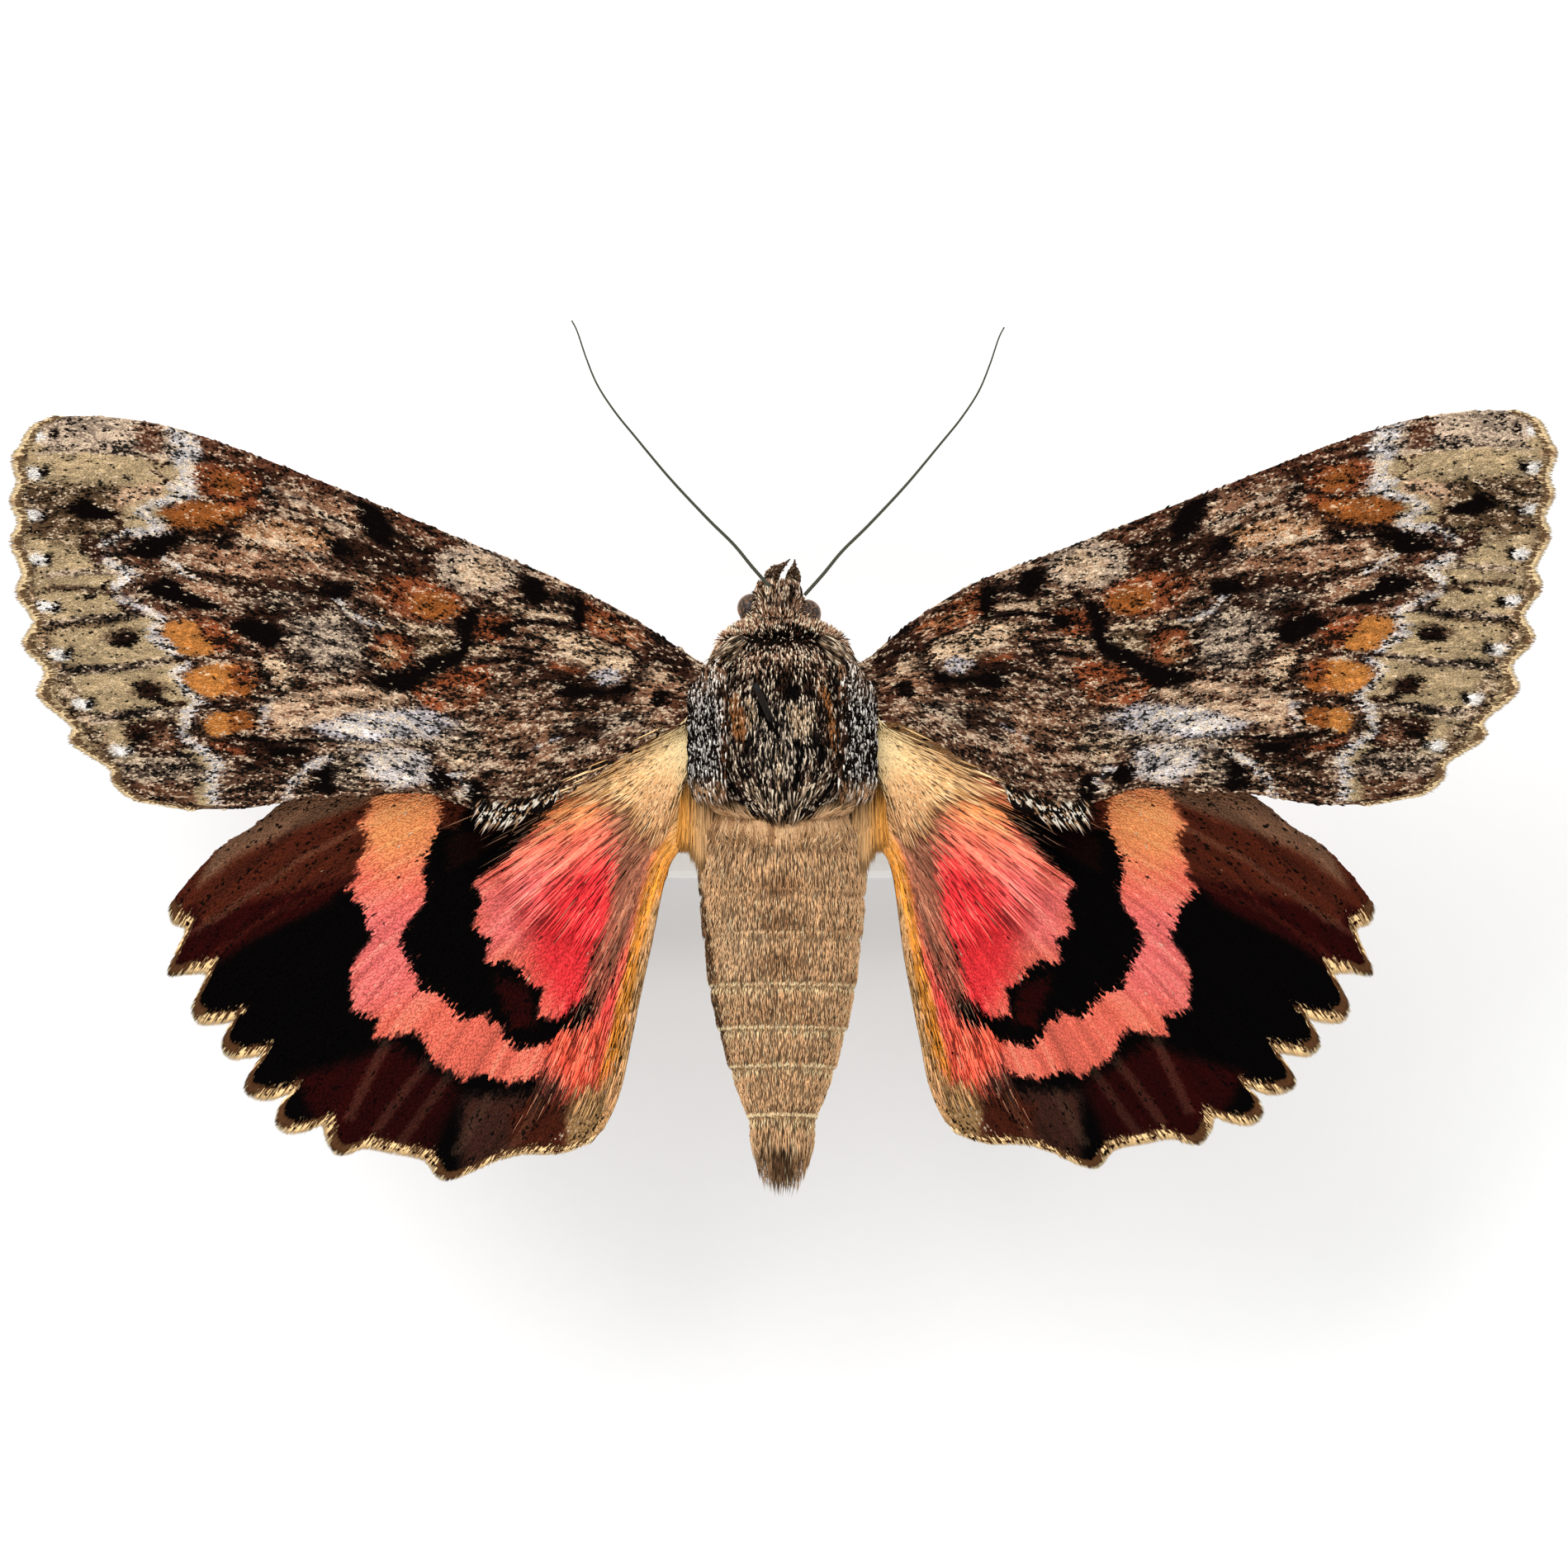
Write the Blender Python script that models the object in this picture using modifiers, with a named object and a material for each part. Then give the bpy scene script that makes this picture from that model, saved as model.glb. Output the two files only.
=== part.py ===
"""Underwing moth, set with its wings spread and held on a small display stand.

Metres, +Z up, +Y towards the head, +X towards the moth's right wings. The origin is
the middle of the stand's underside. Sizes are written in millimetres and made metres
where the pieces are built, by mm().
"""

import math
import random

import bpy
import bmesh
from mathutils import Matrix, Vector

# Driving dimensions, in millimetres
WING_SPREAD = 70.0
BODY_AXIS_HEIGHT = 21.0
GAP = 0.3
MEMBRANE = 0.5
VEIN_RISE = 0.13
BODY_SIDES = 24

# The outlines below are written for this half spread and scaled to the one above
OUTLINE_HALF_SPREAD = 35.0
OUTLINE_SCALE = WING_SPREAD / 2 / OUTLINE_HALF_SPREAD

# Stand
BASE_SIZE = (30.0, 11.0, 4.5)
BASE_CORNER = 4.0
BASE_EDGE = 0.7
ROD_RADIUS = 0.7
ROD_Y = 0.8
FOOT_RADIUS = 2.0
CUP_RADIUS = 1.5
CUP_DEPTH = 2.8
PIN_RADIUS = 0.25
PIN_ENTRY = (-0.35, 1.50, 3.4)
PIN_TOP = (-1.17, 3.32, 7.9)

# Body sections along Y, front to back: y, half width, half height, centre z
COLLAR = (
    (5.88, 1.55, 1.45, 0.2), (5.78, 2.2, 2.05, 0.2), (5.55, 2.85, 2.6, 0.2), (5.25, 2.95, 2.8, 0.2),
)
THORAX = (
    (4.95, 2.3, 2.4, 0.2),
    (4.6, 3.0, 3.1, 0.25),
    (3.9, 3.6, 3.7, 0.3),
    (2.6, 3.95, 4.1, 0.3),
    (0.8, 4.0, 4.2, 0.25),
    (-1.0, 3.75, 3.95, 0.15),
    (-1.9, 3.4, 3.6, 0.05),
    (-2.3, 2.9, 3.1, 0.0),
)
THORAX_SQUARENESS = 2.2

# Abdomen: the y of each joint between rings, and its half width at some places
RING_JOINTS = (-2.45, -5.85, -7.75, -9.99, -11.96, -13.71, -15.98)
ABDOMEN_WIDTHS = (
    (-2.4, 3.0),
    (-3.2, 3.6),
    (-4.4, 3.84),
    (-6.6, 3.80),
    (-8.5, 3.60),
    (-10.4, 3.38),
    (-12.0, 3.02),
    (-13.3, 2.66),
    (-14.8, 2.22),
    (-16.0, 1.68),
    (-17.1, 1.40),
    (-19.3, 0.95),
)
ABDOMEN_FLATNESS = 0.86
ABDOMEN_DROOP = 0.35
RING_FLARE = 0.07
TAIL_TIP = -19.93

# Head, in its own frame: sections along Y, with the neck at y = 0
HEAD_AT = (-0.19, 6.2, 0.1)
HEAD_TURN = -4.0
HEAD = (
    (0.0, 0.80, 0.9, 0.0), (0.3, 0.95, 1.3, 0.0), (1.1, 0.95, 1.4, 0.0), (1.7, 0.9, 1.15, -0.05),
    (2.0, 0.65, 0.75, -0.1),
)
HEAD_SQUARENESS = 3.2
EYE_RADIUS = 0.80
EYE_AT = (1.15, 0.80, 0.0)
PALP_PATH = (
    (0.44, 1.5, -1.5), (0.50, 2.1, -1.0), (0.45, 2.45, -0.3), (0.38, 2.62, 0.15),
    (0.30, 2.85, 0.55),
)
PALP_LEAN = (0.22, 0.16)
PALP_RADII = (0.30, 0.42, 0.34, 0.22, 0.14)
COIL_CENTRE = (0.0, 1.35, -2.15)
COIL_RADII = (1.05, 0.32)
COIL_TURNS = 1.1
COIL_THICKNESS = 0.25

# Feelers: their roots, left and right, and their run outward and forward from there
FEELER_ROOTS = ((-0.50, 7.85, 1.0), (1.00, 7.55, 1.0))
FEELER_RUN = (
    (0.0, 0.0), (0.85, 0.95), (1.72, 2.0), (2.92, 3.18), (4.60, 4.97), (6.10, 6.76), (7.07, 7.95),
    (7.85, 9.14), (8.35, 10.33), (8.75, 11.52), (9.01, 12.05),
)
FEELER_RISE = 1.6
FEELER_RADII = (0.27, 0.13)

# Wings: outlines seen from above, outward from the axis and forward, for the left side
FORE_COSTA = (
    (2.6, 4.05), (3.63, 4.43), (4.94, 5.29), (7.28, 6.78), (10.26, 8.27), (13.84, 9.76),
    (17.42, 11.25), (21.07, 12.74), (25.06, 14.28), (27.78, 15.13), (30.16, 15.52), (32.0, 15.58),
    (33.07, 15.5),
)
FORE_MARGIN = (
    (33.07, 15.5), (34.04, 15.05), (34.52, 14.23), (34.89, 13.6), (34.70, 12.59), (34.97, 11.70),
    (34.63, 10.73), (34.97, 9.87), (34.44, 8.49), (34.71, 7.53), (33.96, 6.33), (34.41, 5.22),
    (33.44, 4.10), (33.70, 2.91), (32.21, 1.56), (32.25, 0.82), (30.53, -0.30), (30.42, -0.89),
    (29.6, -1.62), (28.3, -1.92), (26.84, -2.16),
)
FORE_VEIN_TIPS = (3, 5, 7, 9, 11, 13, 15, 17)
FORE_INNER = (
    (2.6, 2.1), (3.63, 1.86), (5.31, 1.38), (6.99, 0.37), (8.85, -0.86), (10.56, -1.94),
    (12.57, -2.57), (13.77, -2.2), (15.97, -1.45), (18.87, -1.53), (21.44, -1.64), (24.13, -2.1),
    (26.84, -2.16),
)
HIND_COSTA = (
    (2.6, 1.35), (4.2, 1.75), (6.99, 1.86), (11.08, 1.42), (15.93, 0.63), (19.65, -0.48),
    (22.26, -1.60), (23.94, -2.91), (25.32, -3.80), (26.55, -4.99), (27.51, -6.18), (27.85, -6.78),
)
HIND_MARGIN = (
    (27.85, -6.78), (27.37, -8.05), (27.85, -9.54), (26.36, -10.13), (26.81, -11.40),
    (25.17, -12.29), (25.47, -13.11), (23.98, -13.79), (24.42, -14.83), (22.75, -15.72),
    (23.0, -16.4), (21.0, -17.21), (20.51, -17.81), (18.54, -17.66), (16.52, -18.03),
    (15.18, -18.93), (13.88, -18.55), (11.9, -17.9), (10.2, -17.8), (8.70, -17.32),
)
HIND_VEIN_TIPS = (2, 4, 6, 8, 10, 12, 15, 18)
HIND_INNER = (
    (2.6, -1.8), (3.9, -2.9), (4.60, -3.9), (5.1, -4.7), (5.46, -5.89), (5.91, -8.12),
    (6.39, -10.36), (6.84, -12.59), (7.32, -14.83), (7.92, -16.32), (8.70, -17.32),
)
FORE_PLANE = 2.05
WING_PLANES_APART = 1.08
WING_LIFT = 1.3
FORE_ARCH = 0.35
HIND_ARCH = -0.25
WING_ROWS = (0.0, 0.11, 0.22, 0.33, 0.44, 0.46, 0.48, 0.58, 0.69, 0.79, 0.9, 1.0)
CELL_END = 0.46
# How the right wings are set apart from the left: how far each place moves, by the x or y given
RIGHT_FORE_FORWARD = (
    (40.0, 0.3), (28.0, 0.22), (20.0, 0.15), (12.0, 0.32), (8.5, 0.55), (5.5, 0.4), (4.0, 0.1),
)
RIGHT_FORE_OUTWARD = ((16.0, 0.3), (14.3, 0.25), (12.4, 0.05), (8.5, -0.3), (2.5, -0.4), (-3.0, -0.35))
RIGHT_HIND_INWARD = ((-5.0, 0.9), (-9.0, 1.1), (-13.0, 1.05), (-19.0, 1.35))
RIGHT_HIND_FORWARD = ((-9.0, 0.0), (-14.0, 0.15), (-19.0, 0.55))

# Legs: root, knee, ankle and toe, outward, forward and up
LEGS = {
    "fore": ((1.1, 3.4, -3.0), (2.7, 4.5, -5.0), (1.9, 6.2, -4.6), (1.0, 7.9, -3.6)),
    "mid": ((1.3, 0.6, -3.4), (3.5, 1.4, -5.7), (3.1, -2.6, -6.0), (2.5, -6.6, -5.4)),
    "hind": ((1.0, -1.2, -3.0), (2.0, -3.2, -5.0), (1.5, -8.2, -5.0), (1.0, -12.8, -4.4)),
}
LEG_RADII = (0.50, 0.42, 0.28, 0.16)

# Tegulae, the flaps over the wing roots
TEGULA_AT = (3.25, 1.75, 3.62)
TEGULA_HALF = (1.3, 3.2, 0.55)
TEGULA_TILT = 36.0
TEGULA_LOCKS = (
    (-0.75, -0.9, 0.9), (0.0, -1.6, 1.0), (0.7, -0.9, 0.9), (-0.35, 0.6, 1.0), (0.45, 0.9, 1.0),
    (0.0, 2.1, 0.95),
)

# Locks of hair: length, width and thickness
THORAX_LOCK = (2.3, 1.15, 0.5)
TUFT_LOCK = (2.9, 1.0, 0.5)
REAR_TUFT = ((-1.9, -0.6, 0.8), (1.9, -0.6, 0.8), (-1.1, -0.85, 0.92), (1.15, -0.9, 0.92), (0.07, -0.95, 1.0))
COLLAR_LOCK = (1.5, 0.95, 0.5)
TEGULA_LOCK = (2.1, 0.9, 0.5)
RING_LOCK = (2.0, 0.9, 0.5)
TAIL_LOCK = (3.3, 0.95, 0.5)

COLOURS = {
    "body_hair": (0.16, 0.12, 0.09),
    "abdomen_hair": (0.42, 0.31, 0.20),
    "forewing_scales": (0.24, 0.18, 0.13),
    "hindwing_scales": (0.62, 0.13, 0.10),
    "eye": (0.10, 0.05, 0.03),
    "horn_brown": (0.20, 0.15, 0.10),
    "stand_paint": (0.86, 0.86, 0.84),
    "stand_steel": (0.10, 0.10, 0.11),
}
ROUGHNESS = {"eye": 0.25, "stand_paint": 0.45, "stand_steel": 0.35}


def mm(*values):
    """A point in metres from one in millimetres."""
    return Vector(values) * 0.001


def clear_scene():
    for thing in list(bpy.data.objects):
        bpy.data.objects.remove(thing)


def material(name):
    found = bpy.data.materials.get(name)
    if found:
        return found
    made = bpy.data.materials.new(name)
    made.use_nodes = True
    shader = made.node_tree.nodes["Principled BSDF"]
    shader.inputs["Base Color"].default_value = (*COLOURS[name], 1.0)
    shader.inputs["Roughness"].default_value = ROUGHNESS.get(name, 0.8)
    shader.inputs["Metallic"].default_value = 0.9 if name == "stand_steel" else 0.0
    return made


def new_object(name, mesh, finish=None):
    """A mesh object in the moth's collection, shaded smooth with its sharp edges kept."""
    thing = bpy.data.objects.new(name, mesh)
    MOTH.objects.link(thing)
    if finish:
        mesh.materials.clear()
        mesh.materials.append(material(finish))
    mesh.shade_smooth()
    mesh.set_sharp_from_angle(angle=math.radians(40))
    return thing


def mesh_from(bm, name):
    bmesh.ops.recalc_face_normals(bm, faces=bm.faces)
    mesh = bpy.data.meshes.new(name)
    bm.to_mesh(mesh)
    bm.free()
    return mesh


def applied(thing):
    """The object's evaluated mesh takes the place of its mesh and modifiers."""
    graph = bpy.context.evaluated_depsgraph_get()
    mesh = bpy.data.meshes.new_from_object(thing.evaluated_get(graph))
    mesh.transform(thing.matrix_world)
    thing.modifiers.clear()
    thing.data = mesh
    thing.matrix_world = Matrix.Identity(4)
    return thing


def keep_largest(thing):
    """Drops every closed surface of the mesh but the largest."""
    bm = bmesh.new()
    bm.from_mesh(thing.data)
    shells = []
    left = set(bm.verts)
    while left:
        shell = {left.pop()}
        edge_of_shell = list(shell)
        while edge_of_shell:
            vert = edge_of_shell.pop()
            for edge in vert.link_edges:
                other = edge.other_vert(vert)
                if other in left:
                    left.remove(other)
                    shell.add(other)
                    edge_of_shell.append(other)
        shells.append(shell)
    areas = [sum(face.calc_area() for face in {f for v in shell for f in v.link_faces}) for shell in shells]
    largest = shells[areas.index(max(areas))]
    bmesh.ops.delete(bm, geom=[v for s in shells if s is not largest for v in s])
    bm.to_mesh(thing.data)
    bm.free()


def smooth_line(points, count):
    """That many points on a smooth curve through the given ones, evenly spaced along it."""
    points = [Vector(p) for p in points]
    ends = [2 * points[0] - points[1], *points, 2 * points[-1] - points[-2]]
    fine = []
    steps = 12
    for before, start, end, after in zip(ends, ends[1:], ends[2:], ends[3:]):
        for step in range(steps):
            t = step / steps
            squared = (2 * before - 5 * start + 4 * end - after) * t * t
            cubed = (3 * start - before - 3 * end + after) * t ** 3
            fine.append(0.5 * (2 * start + (end - before) * t + squared + cubed))
    fine.append(points[-1])
    return spaced(fine, [k / (count - 1) for k in range(count)])


def spaced(line, shares):
    """The points at those shares of the line's length."""
    lengths = [0.0]
    for a, b in zip(line, line[1:]):
        lengths.append(lengths[-1] + (b - a).length)
    found, k = [], 0
    for share in shares:
        wanted = share * lengths[-1]
        while k < len(line) - 2 and lengths[k + 1] < wanted:
            k += 1
        stretch = lengths[k + 1] - lengths[k]
        found.append(line[k].lerp(line[k + 1], (wanted - lengths[k]) / stretch if stretch else 0.0))
    return found


def between(table, y):
    """A value read from a table of (y, value), y falling, with straight lines between."""
    for (y0, v0), (y1, v1) in zip(table, table[1:]):
        if y >= y1:
            return v0 + (v1 - v0) * (y0 - y) / (y0 - y1) if y < y0 else v0
    return table[-1][1]


def section(y, half_width, half_height, centre_z, squareness, sides=BODY_SIDES):
    """A ring of points in the XZ plane, rounder at 2 and squarer above it."""
    ring = []
    for k in range(sides):
        turn = 2 * math.pi * k / sides
        c, s = math.cos(turn), math.sin(turn)
        x = half_width * math.copysign(abs(c) ** (2 / squareness), c)
        z = half_height * math.copysign(abs(s) ** (2 / squareness), s)
        ring.append(mm(x, y, centre_z + z))
    return ring


def loft(name, rings):
    """A closed skin over rings that all have the same count of points."""
    bm = bmesh.new()
    rows = [[bm.verts.new(point) for point in ring] for ring in rings]
    for row, after in zip(rows, rows[1:]):
        for k in range(len(row)):
            n = (k + 1) % len(row)
            bm.faces.new((row[k], row[n], after[n], after[k]))
    bm.faces.new(rows[0])
    bm.faces.new(rows[-1][::-1])
    return mesh_from(bm, name)


def body_loft(name, stations, squareness=2.0, grow=0.0, sides=BODY_SIDES):
    """Body sections joined, each grown by the same amount for use as a cutter."""
    rings = []
    forward = 1 if stations[0][0] > stations[-1][0] else -1
    last = len(stations) - 1
    for k, (y, half_width, half_height, centre_z) in enumerate(stations):
        y += forward * grow * ((k == 0) - (k == last))
        rings.append(section(y, half_width + grow, half_height + grow, centre_z, squareness, sides))
    return loft(name, rings)


def cut_clear(thing, cutter_mesh):
    """Takes the grown copy of a neighbour out of a piece, which leaves a gap all round."""
    cutter = bpy.data.objects.new(thing.name + "_cutter", cutter_mesh)
    CUTTERS.objects.link(cutter)
    cutter.hide_render = True
    cutter.display_type = "WIRE"
    cut = thing.modifiers.new("clear", "BOOLEAN")
    cut.operation = "DIFFERENCE"
    cut.object = cutter
    bpy.context.view_layer.update()
    applied(thing)
    keep_largest(thing)
    bpy.data.objects.remove(cutter)
    return thing


def fuse(thing, pieces):
    """Joins closed pieces to a node with one Boolean union and keeps one closed surface."""
    group = bpy.data.collections.new(thing.name + "_pieces")
    bpy.context.scene.collection.children.link(group)
    for number, mesh in enumerate(pieces):
        group.objects.link(bpy.data.objects.new(f"{thing.name}_piece_{number}", mesh))
    union = thing.modifiers.new("union", "BOOLEAN")
    union.operation = "UNION"
    union.operand_type = "COLLECTION"
    union.collection = group
    union.solver = "EXACT"
    bpy.context.view_layer.update()
    applied(thing)
    for piece in list(group.objects):
        bpy.data.objects.remove(piece)
    bpy.data.collections.remove(group)
    keep_largest(thing)
    return thing


def tube(name, points, radii, finish, sides_level=2):
    """A bent round piece along points, with a radius at each, closed at both ends."""
    curve = bpy.data.curves.new(name, "CURVE")
    curve.dimensions = "3D"
    curve.bevel_depth = 1.0
    curve.bevel_resolution = sides_level
    curve.use_fill_caps = True
    line = curve.splines.new("POLY")
    line.points.add(len(points) - 1)
    for knot, point, radius in zip(line.points, points, radii):
        knot.co = (*point, 1.0)
        knot.radius = radius
    thing = bpy.data.objects.new(name + "_line", curve)
    MOTH.objects.link(thing)
    bpy.context.view_layer.update()
    graph = bpy.context.evaluated_depsgraph_get()
    mesh = bpy.data.meshes.new_from_object(thing.evaluated_get(graph))
    bpy.data.objects.remove(thing)
    bm = bmesh.new()
    bm.from_mesh(mesh)
    bmesh.ops.remove_doubles(bm, verts=bm.verts, dist=1e-7)
    return new_object(name, mesh_from(bm, name), finish)


def lock(root, along, up, size, bend, sections=3):
    """A flat, tapered lock of hair in millimetres: diamond sections along a bent line, then a point."""
    length, width, thickness = size
    along = along.normalized()
    side = along.cross(up).normalized()
    up = side.cross(along)
    bm = bmesh.new()
    rows = []
    for k in range(sections):
        t = k / sections
        centre = root + along * length * t + up * bend * math.sin(math.pi * t)
        swell = (1 - t ** 2) ** 0.5 * (0.8 + 0.45 * math.sin(math.pi * t))
        reach = (side * width * swell / 2, up * thickness * (1 - 0.5 * t) / 2)
        corners = (centre + reach[0], centre + reach[1], centre - reach[0], centre - reach[1])
        rows.append([bm.verts.new(corner * 0.001) for corner in corners])
    tip = bm.verts.new((root + along * length) * 0.001)
    for row, after in zip(rows, rows[1:]):
        for k in range(4):
            bm.faces.new((row[k], row[(k + 1) % 4], after[(k + 1) % 4], after[k]))
    for k in range(4):
        bm.faces.new((rows[-1][k], rows[-1][(k + 1) % 4], tip))
    bm.faces.new(rows[0])
    return mesh_from(bm, "lock")


def on_body(stations, squareness, y, angle):
    """A lofted body's point at y, that many degrees from its top towards the right, and its outward way."""
    half_width, half_height, centre_z = (
        between([(station[0], station[k]) for station in stations], y) for k in (1, 2, 3)
    )
    turn = math.radians(90 - angle)
    c, s = math.cos(turn), math.sin(turn)
    x = half_width * math.copysign(abs(c) ** (2 / squareness), c)
    z = half_height * math.copysign(abs(s) ** (2 / squareness), s)
    out = Vector((x / half_width ** 2, 0, z / half_height ** 2)).normalized()
    return Vector((x, y, centre_z + z)), out


def coat(stations, squareness, rows, size, draw, lean=14.0, sink=0.35, back=-1, keep=None):
    """Locks over a lofted body. Each row is a y, the widest angle it reaches and its count of locks."""
    locks = []
    for number, (y, widest, count) in enumerate(rows):
        for k in range(count):
            share = (k + 0.5) / count * 2 - 1 + (0.35 / count if number % 2 else -0.35 / count)
            angle = share * widest + draw.uniform(-2.5, 2.5)
            root_y = y + draw.uniform(-0.12, 0.12)
            root, out = on_body(stations, squareness, root_y, angle)
            ahead, _ = on_body(stations, squareness, root_y + back * 0.8, angle)
            along = (ahead - root).normalized() + out * math.tan(math.radians(lean + draw.uniform(-4, 4)))
            along = along.normalized()
            length = size[0] * draw.uniform(0.9, 1.1)
            root = root - out * sink
            if keep and not keep(root, root + along * length):
                continue
            locks.append(lock(root, along, out, (length, size[1], size[2]), 0.1 * length))
    return locks


def clear_of_pin(root, tip):
    """True where a lock from root to tip stays clear of the pin."""
    foot, top = Vector(PIN_ENTRY), Vector(PIN_TOP)
    for t in (0.3, 0.6, 0.9):
        point = root.lerp(tip, t)
        at = foot.lerp(top, (point.z - foot.z) / (top.z - foot.z))
        if (point - at).length < PIN_RADIUS + GAP + 0.65:
            return False
    return True


def wing_columns(margin, tips):
    """Shares along the outer margin for the wing's columns, and the height of the vein at each."""
    line = [Vector(p) for p in margin]
    lengths = [0.0]
    for a, b in zip(line, line[1:]):
        lengths.append(lengths[-1] + (b - a).length)
    at = [length / lengths[-1] for length in lengths]
    columns = {}
    for k, share in enumerate(at):
        columns[share] = 1.0 if k in tips else 0.0
        if k in tips:
            columns[share - (share - at[k - 1]) * 0.42] = 0.0
            columns[share + (at[min(k + 1, len(at) - 1)] - share) * 0.42] = 0.0
    return sorted(columns.items())


def wing_sheet(name, costa, margin, inner, tips, plane, arch, settle, finish):
    """A thin wing: a patch between its four edges, with its veins raised on both faces."""
    columns = wing_columns(margin, tips)
    shares = [share for share, _ in columns]
    front = spaced(smooth_line([Vector(p) * OUTLINE_SCALE for p in costa], 60), WING_ROWS)
    back = spaced(smooth_line([Vector(p) * OUTLINE_SCALE for p in inner], 60), WING_ROWS)
    outer = spaced(smooth_line([Vector(p) * OUTLINE_SCALE for p in margin], 12 * len(margin)), shares)
    stems = [j for j, column in enumerate(columns) if column[1]]
    through = {stems[0], stems[1], *stems[-3:]}
    cell = range(stems[1] + 1, stems[-3])
    bm = bmesh.new()
    tops, unders = [], []
    for i, u in enumerate(WING_ROWS):
        top_row, under_row = [], []
        for j, (v, rise) in enumerate(columns):
            root = front[0].lerp(back[0], v)
            corners = (1 - u) * root + u * outer[0].lerp(outer[-1], v)
            flat = (1 - v) * front[i] + v * back[i] + (1 - u) * root + u * outer[j] - corners
            height = 0.0
            if rise:
                start = 0.12 if j in through else CELL_END
                height = VEIN_RISE * min(max((u - start) / 0.05, 0.0), 1.0) * (1.0 - 0.55 * u)
            if u == CELL_END and j in cell:
                height = VEIN_RISE * (1.0 - 0.55 * u)
            middle = plane + arch * math.sin(math.pi * v) * math.sin(math.pi * min(u * 1.1, 1.0))
            x, y = settle(flat.x, flat.y)
            lift = WING_LIFT * max((abs(x) - 4.0) / OUTLINE_HALF_SPREAD, 0.0) ** 1.5
            thick = MEMBRANE / 2 * (1.0 - 0.25 * u * u)
            top_row.append(bm.verts.new(mm(x, y, middle + lift + thick + height)))
            under_row.append(bm.verts.new(mm(x, y, middle + lift - thick - height * 0.4)))
        tops.append(top_row)
        unders.append(under_row)
    rows = len(WING_ROWS)
    for i in range(rows - 1):
        for j in range(len(columns) - 1):
            for sheet in (tops, unders):
                a, b, c, d = sheet[i][j], sheet[i + 1][j], sheet[i + 1][j + 1], sheet[i][j + 1]
                bm.faces.new((a, b, c))
                bm.faces.new((a, c, d))
    last = len(columns) - 1
    rim = [(i, 0) for i in range(rows)] + [(rows - 1, j) for j in range(1, last + 1)]
    rim += [(i, last) for i in range(rows - 2, -1, -1)] + [(0, j) for j in range(last - 1, 0, -1)]
    for (i, j), (m, n) in zip(rim, rim[1:] + rim[:1]):
        bm.faces.new((tops[i][j], tops[m][n], unders[m][n]))
        bm.faces.new((tops[i][j], unders[m][n], unders[i][j]))
    return new_object(name, mesh_from(bm, name), finish)


def ramp(value, low, high):
    """From 0 at low to 1 at high, smoothly."""
    t = min(max((value - low) / (high - low), 0.0), 1.0)
    return t * t * (3 - 2 * t)


def settle_fore(side):
    """Places an outline point on its side. The right forewing is set a little further forward."""
    def place(x, y):
        if side < 0:
            return -x, y
        return x + between(RIGHT_FORE_OUTWARD, y) * ramp(x, 12.0, 30.0), y + between(RIGHT_FORE_FORWARD, x)

    return place


def settle_hind(side):
    """Places an outline point on its side. The right hindwing is set a little closer to the body."""
    def place(x, y):
        if side < 0:
            return -x, y
        share = ramp(x, 3.6, 7.0) * (0.6 + 0.4 * ramp(x, 7.0, 20.0))
        return x - between(RIGHT_HIND_INWARD, y) * share, y + between(RIGHT_HIND_FORWARD, y)

    return place


def make_stand():
    """A flat painted base, a turned steel rod up to the thorax, and the pin's end above it."""
    width, depth, height = BASE_SIZE
    bpy.ops.mesh.primitive_cube_add(size=1.0, location=mm(0, 0, height / 2))
    base = bpy.context.object
    base.name = "stand_base"
    base.data.transform(Matrix.Diagonal((*mm(width, depth, height), 1.0)))
    bm = bmesh.new()
    bm.from_mesh(base.data)
    uprights = [e for e in bm.edges if abs(e.verts[0].co.z - e.verts[1].co.z) > 0.001]
    bmesh.ops.bevel(bm, geom=uprights, offset=BASE_CORNER * 0.001, segments=6, profile=0.5, affect="EDGES")
    top = max(v.co.z for v in bm.verts)
    rim = [e for e in bm.edges if min(v.co.z for v in e.verts) > top - 1e-6]
    bmesh.ops.bevel(bm, geom=rim, offset=BASE_EDGE * 0.001, segments=3, profile=0.5, affect="EDGES")
    bm.to_mesh(base.data)
    bm.free()
    base.data.materials.append(material("stand_paint"))
    for group in base.users_collection:
        group.objects.unlink(base)
    MOTH.objects.link(base)

    foot = height + GAP
    cup_top = BODY_AXIS_HEIGHT - 2.0
    profile = (
        (0.0, cup_top), (CUP_RADIUS, cup_top), (CUP_RADIUS, cup_top - CUP_DEPTH),
        (ROD_RADIUS, cup_top - CUP_DEPTH - 0.6), (ROD_RADIUS, foot + 1.4),
        (FOOT_RADIUS * 0.6, foot + 0.8), (FOOT_RADIUS, foot + 0.5), (FOOT_RADIUS, foot), (0.0, foot),
    )
    bm = bmesh.new()
    knots = [bm.verts.new(mm(radius, 0, z)) for radius, z in profile]
    for a, b in zip(knots, knots[1:]):
        bm.edges.new((a, b))
    mesh = bpy.data.meshes.new("stand_rod")
    bm.to_mesh(mesh)
    bm.free()
    rod = new_object("stand_rod", mesh, "stand_steel")
    turn = rod.modifiers.new("turn", "SCREW")
    turn.steps = turn.render_steps = 20
    turn.use_merge_vertices = True
    turn.merge_threshold = 1e-6
    rod.location = mm(0, ROD_Y, 0)
    bpy.context.view_layer.update()
    applied(rod)
    cut_clear(rod, thorax_grown())

    pin = tube("stand_pin", [mm(*PIN_ENTRY), mm(*PIN_TOP)], [PIN_RADIUS * 0.001] * 2, "stand_steel", 3)
    lift_up(pin)
    cut_clear(pin, thorax_grown())


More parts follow.
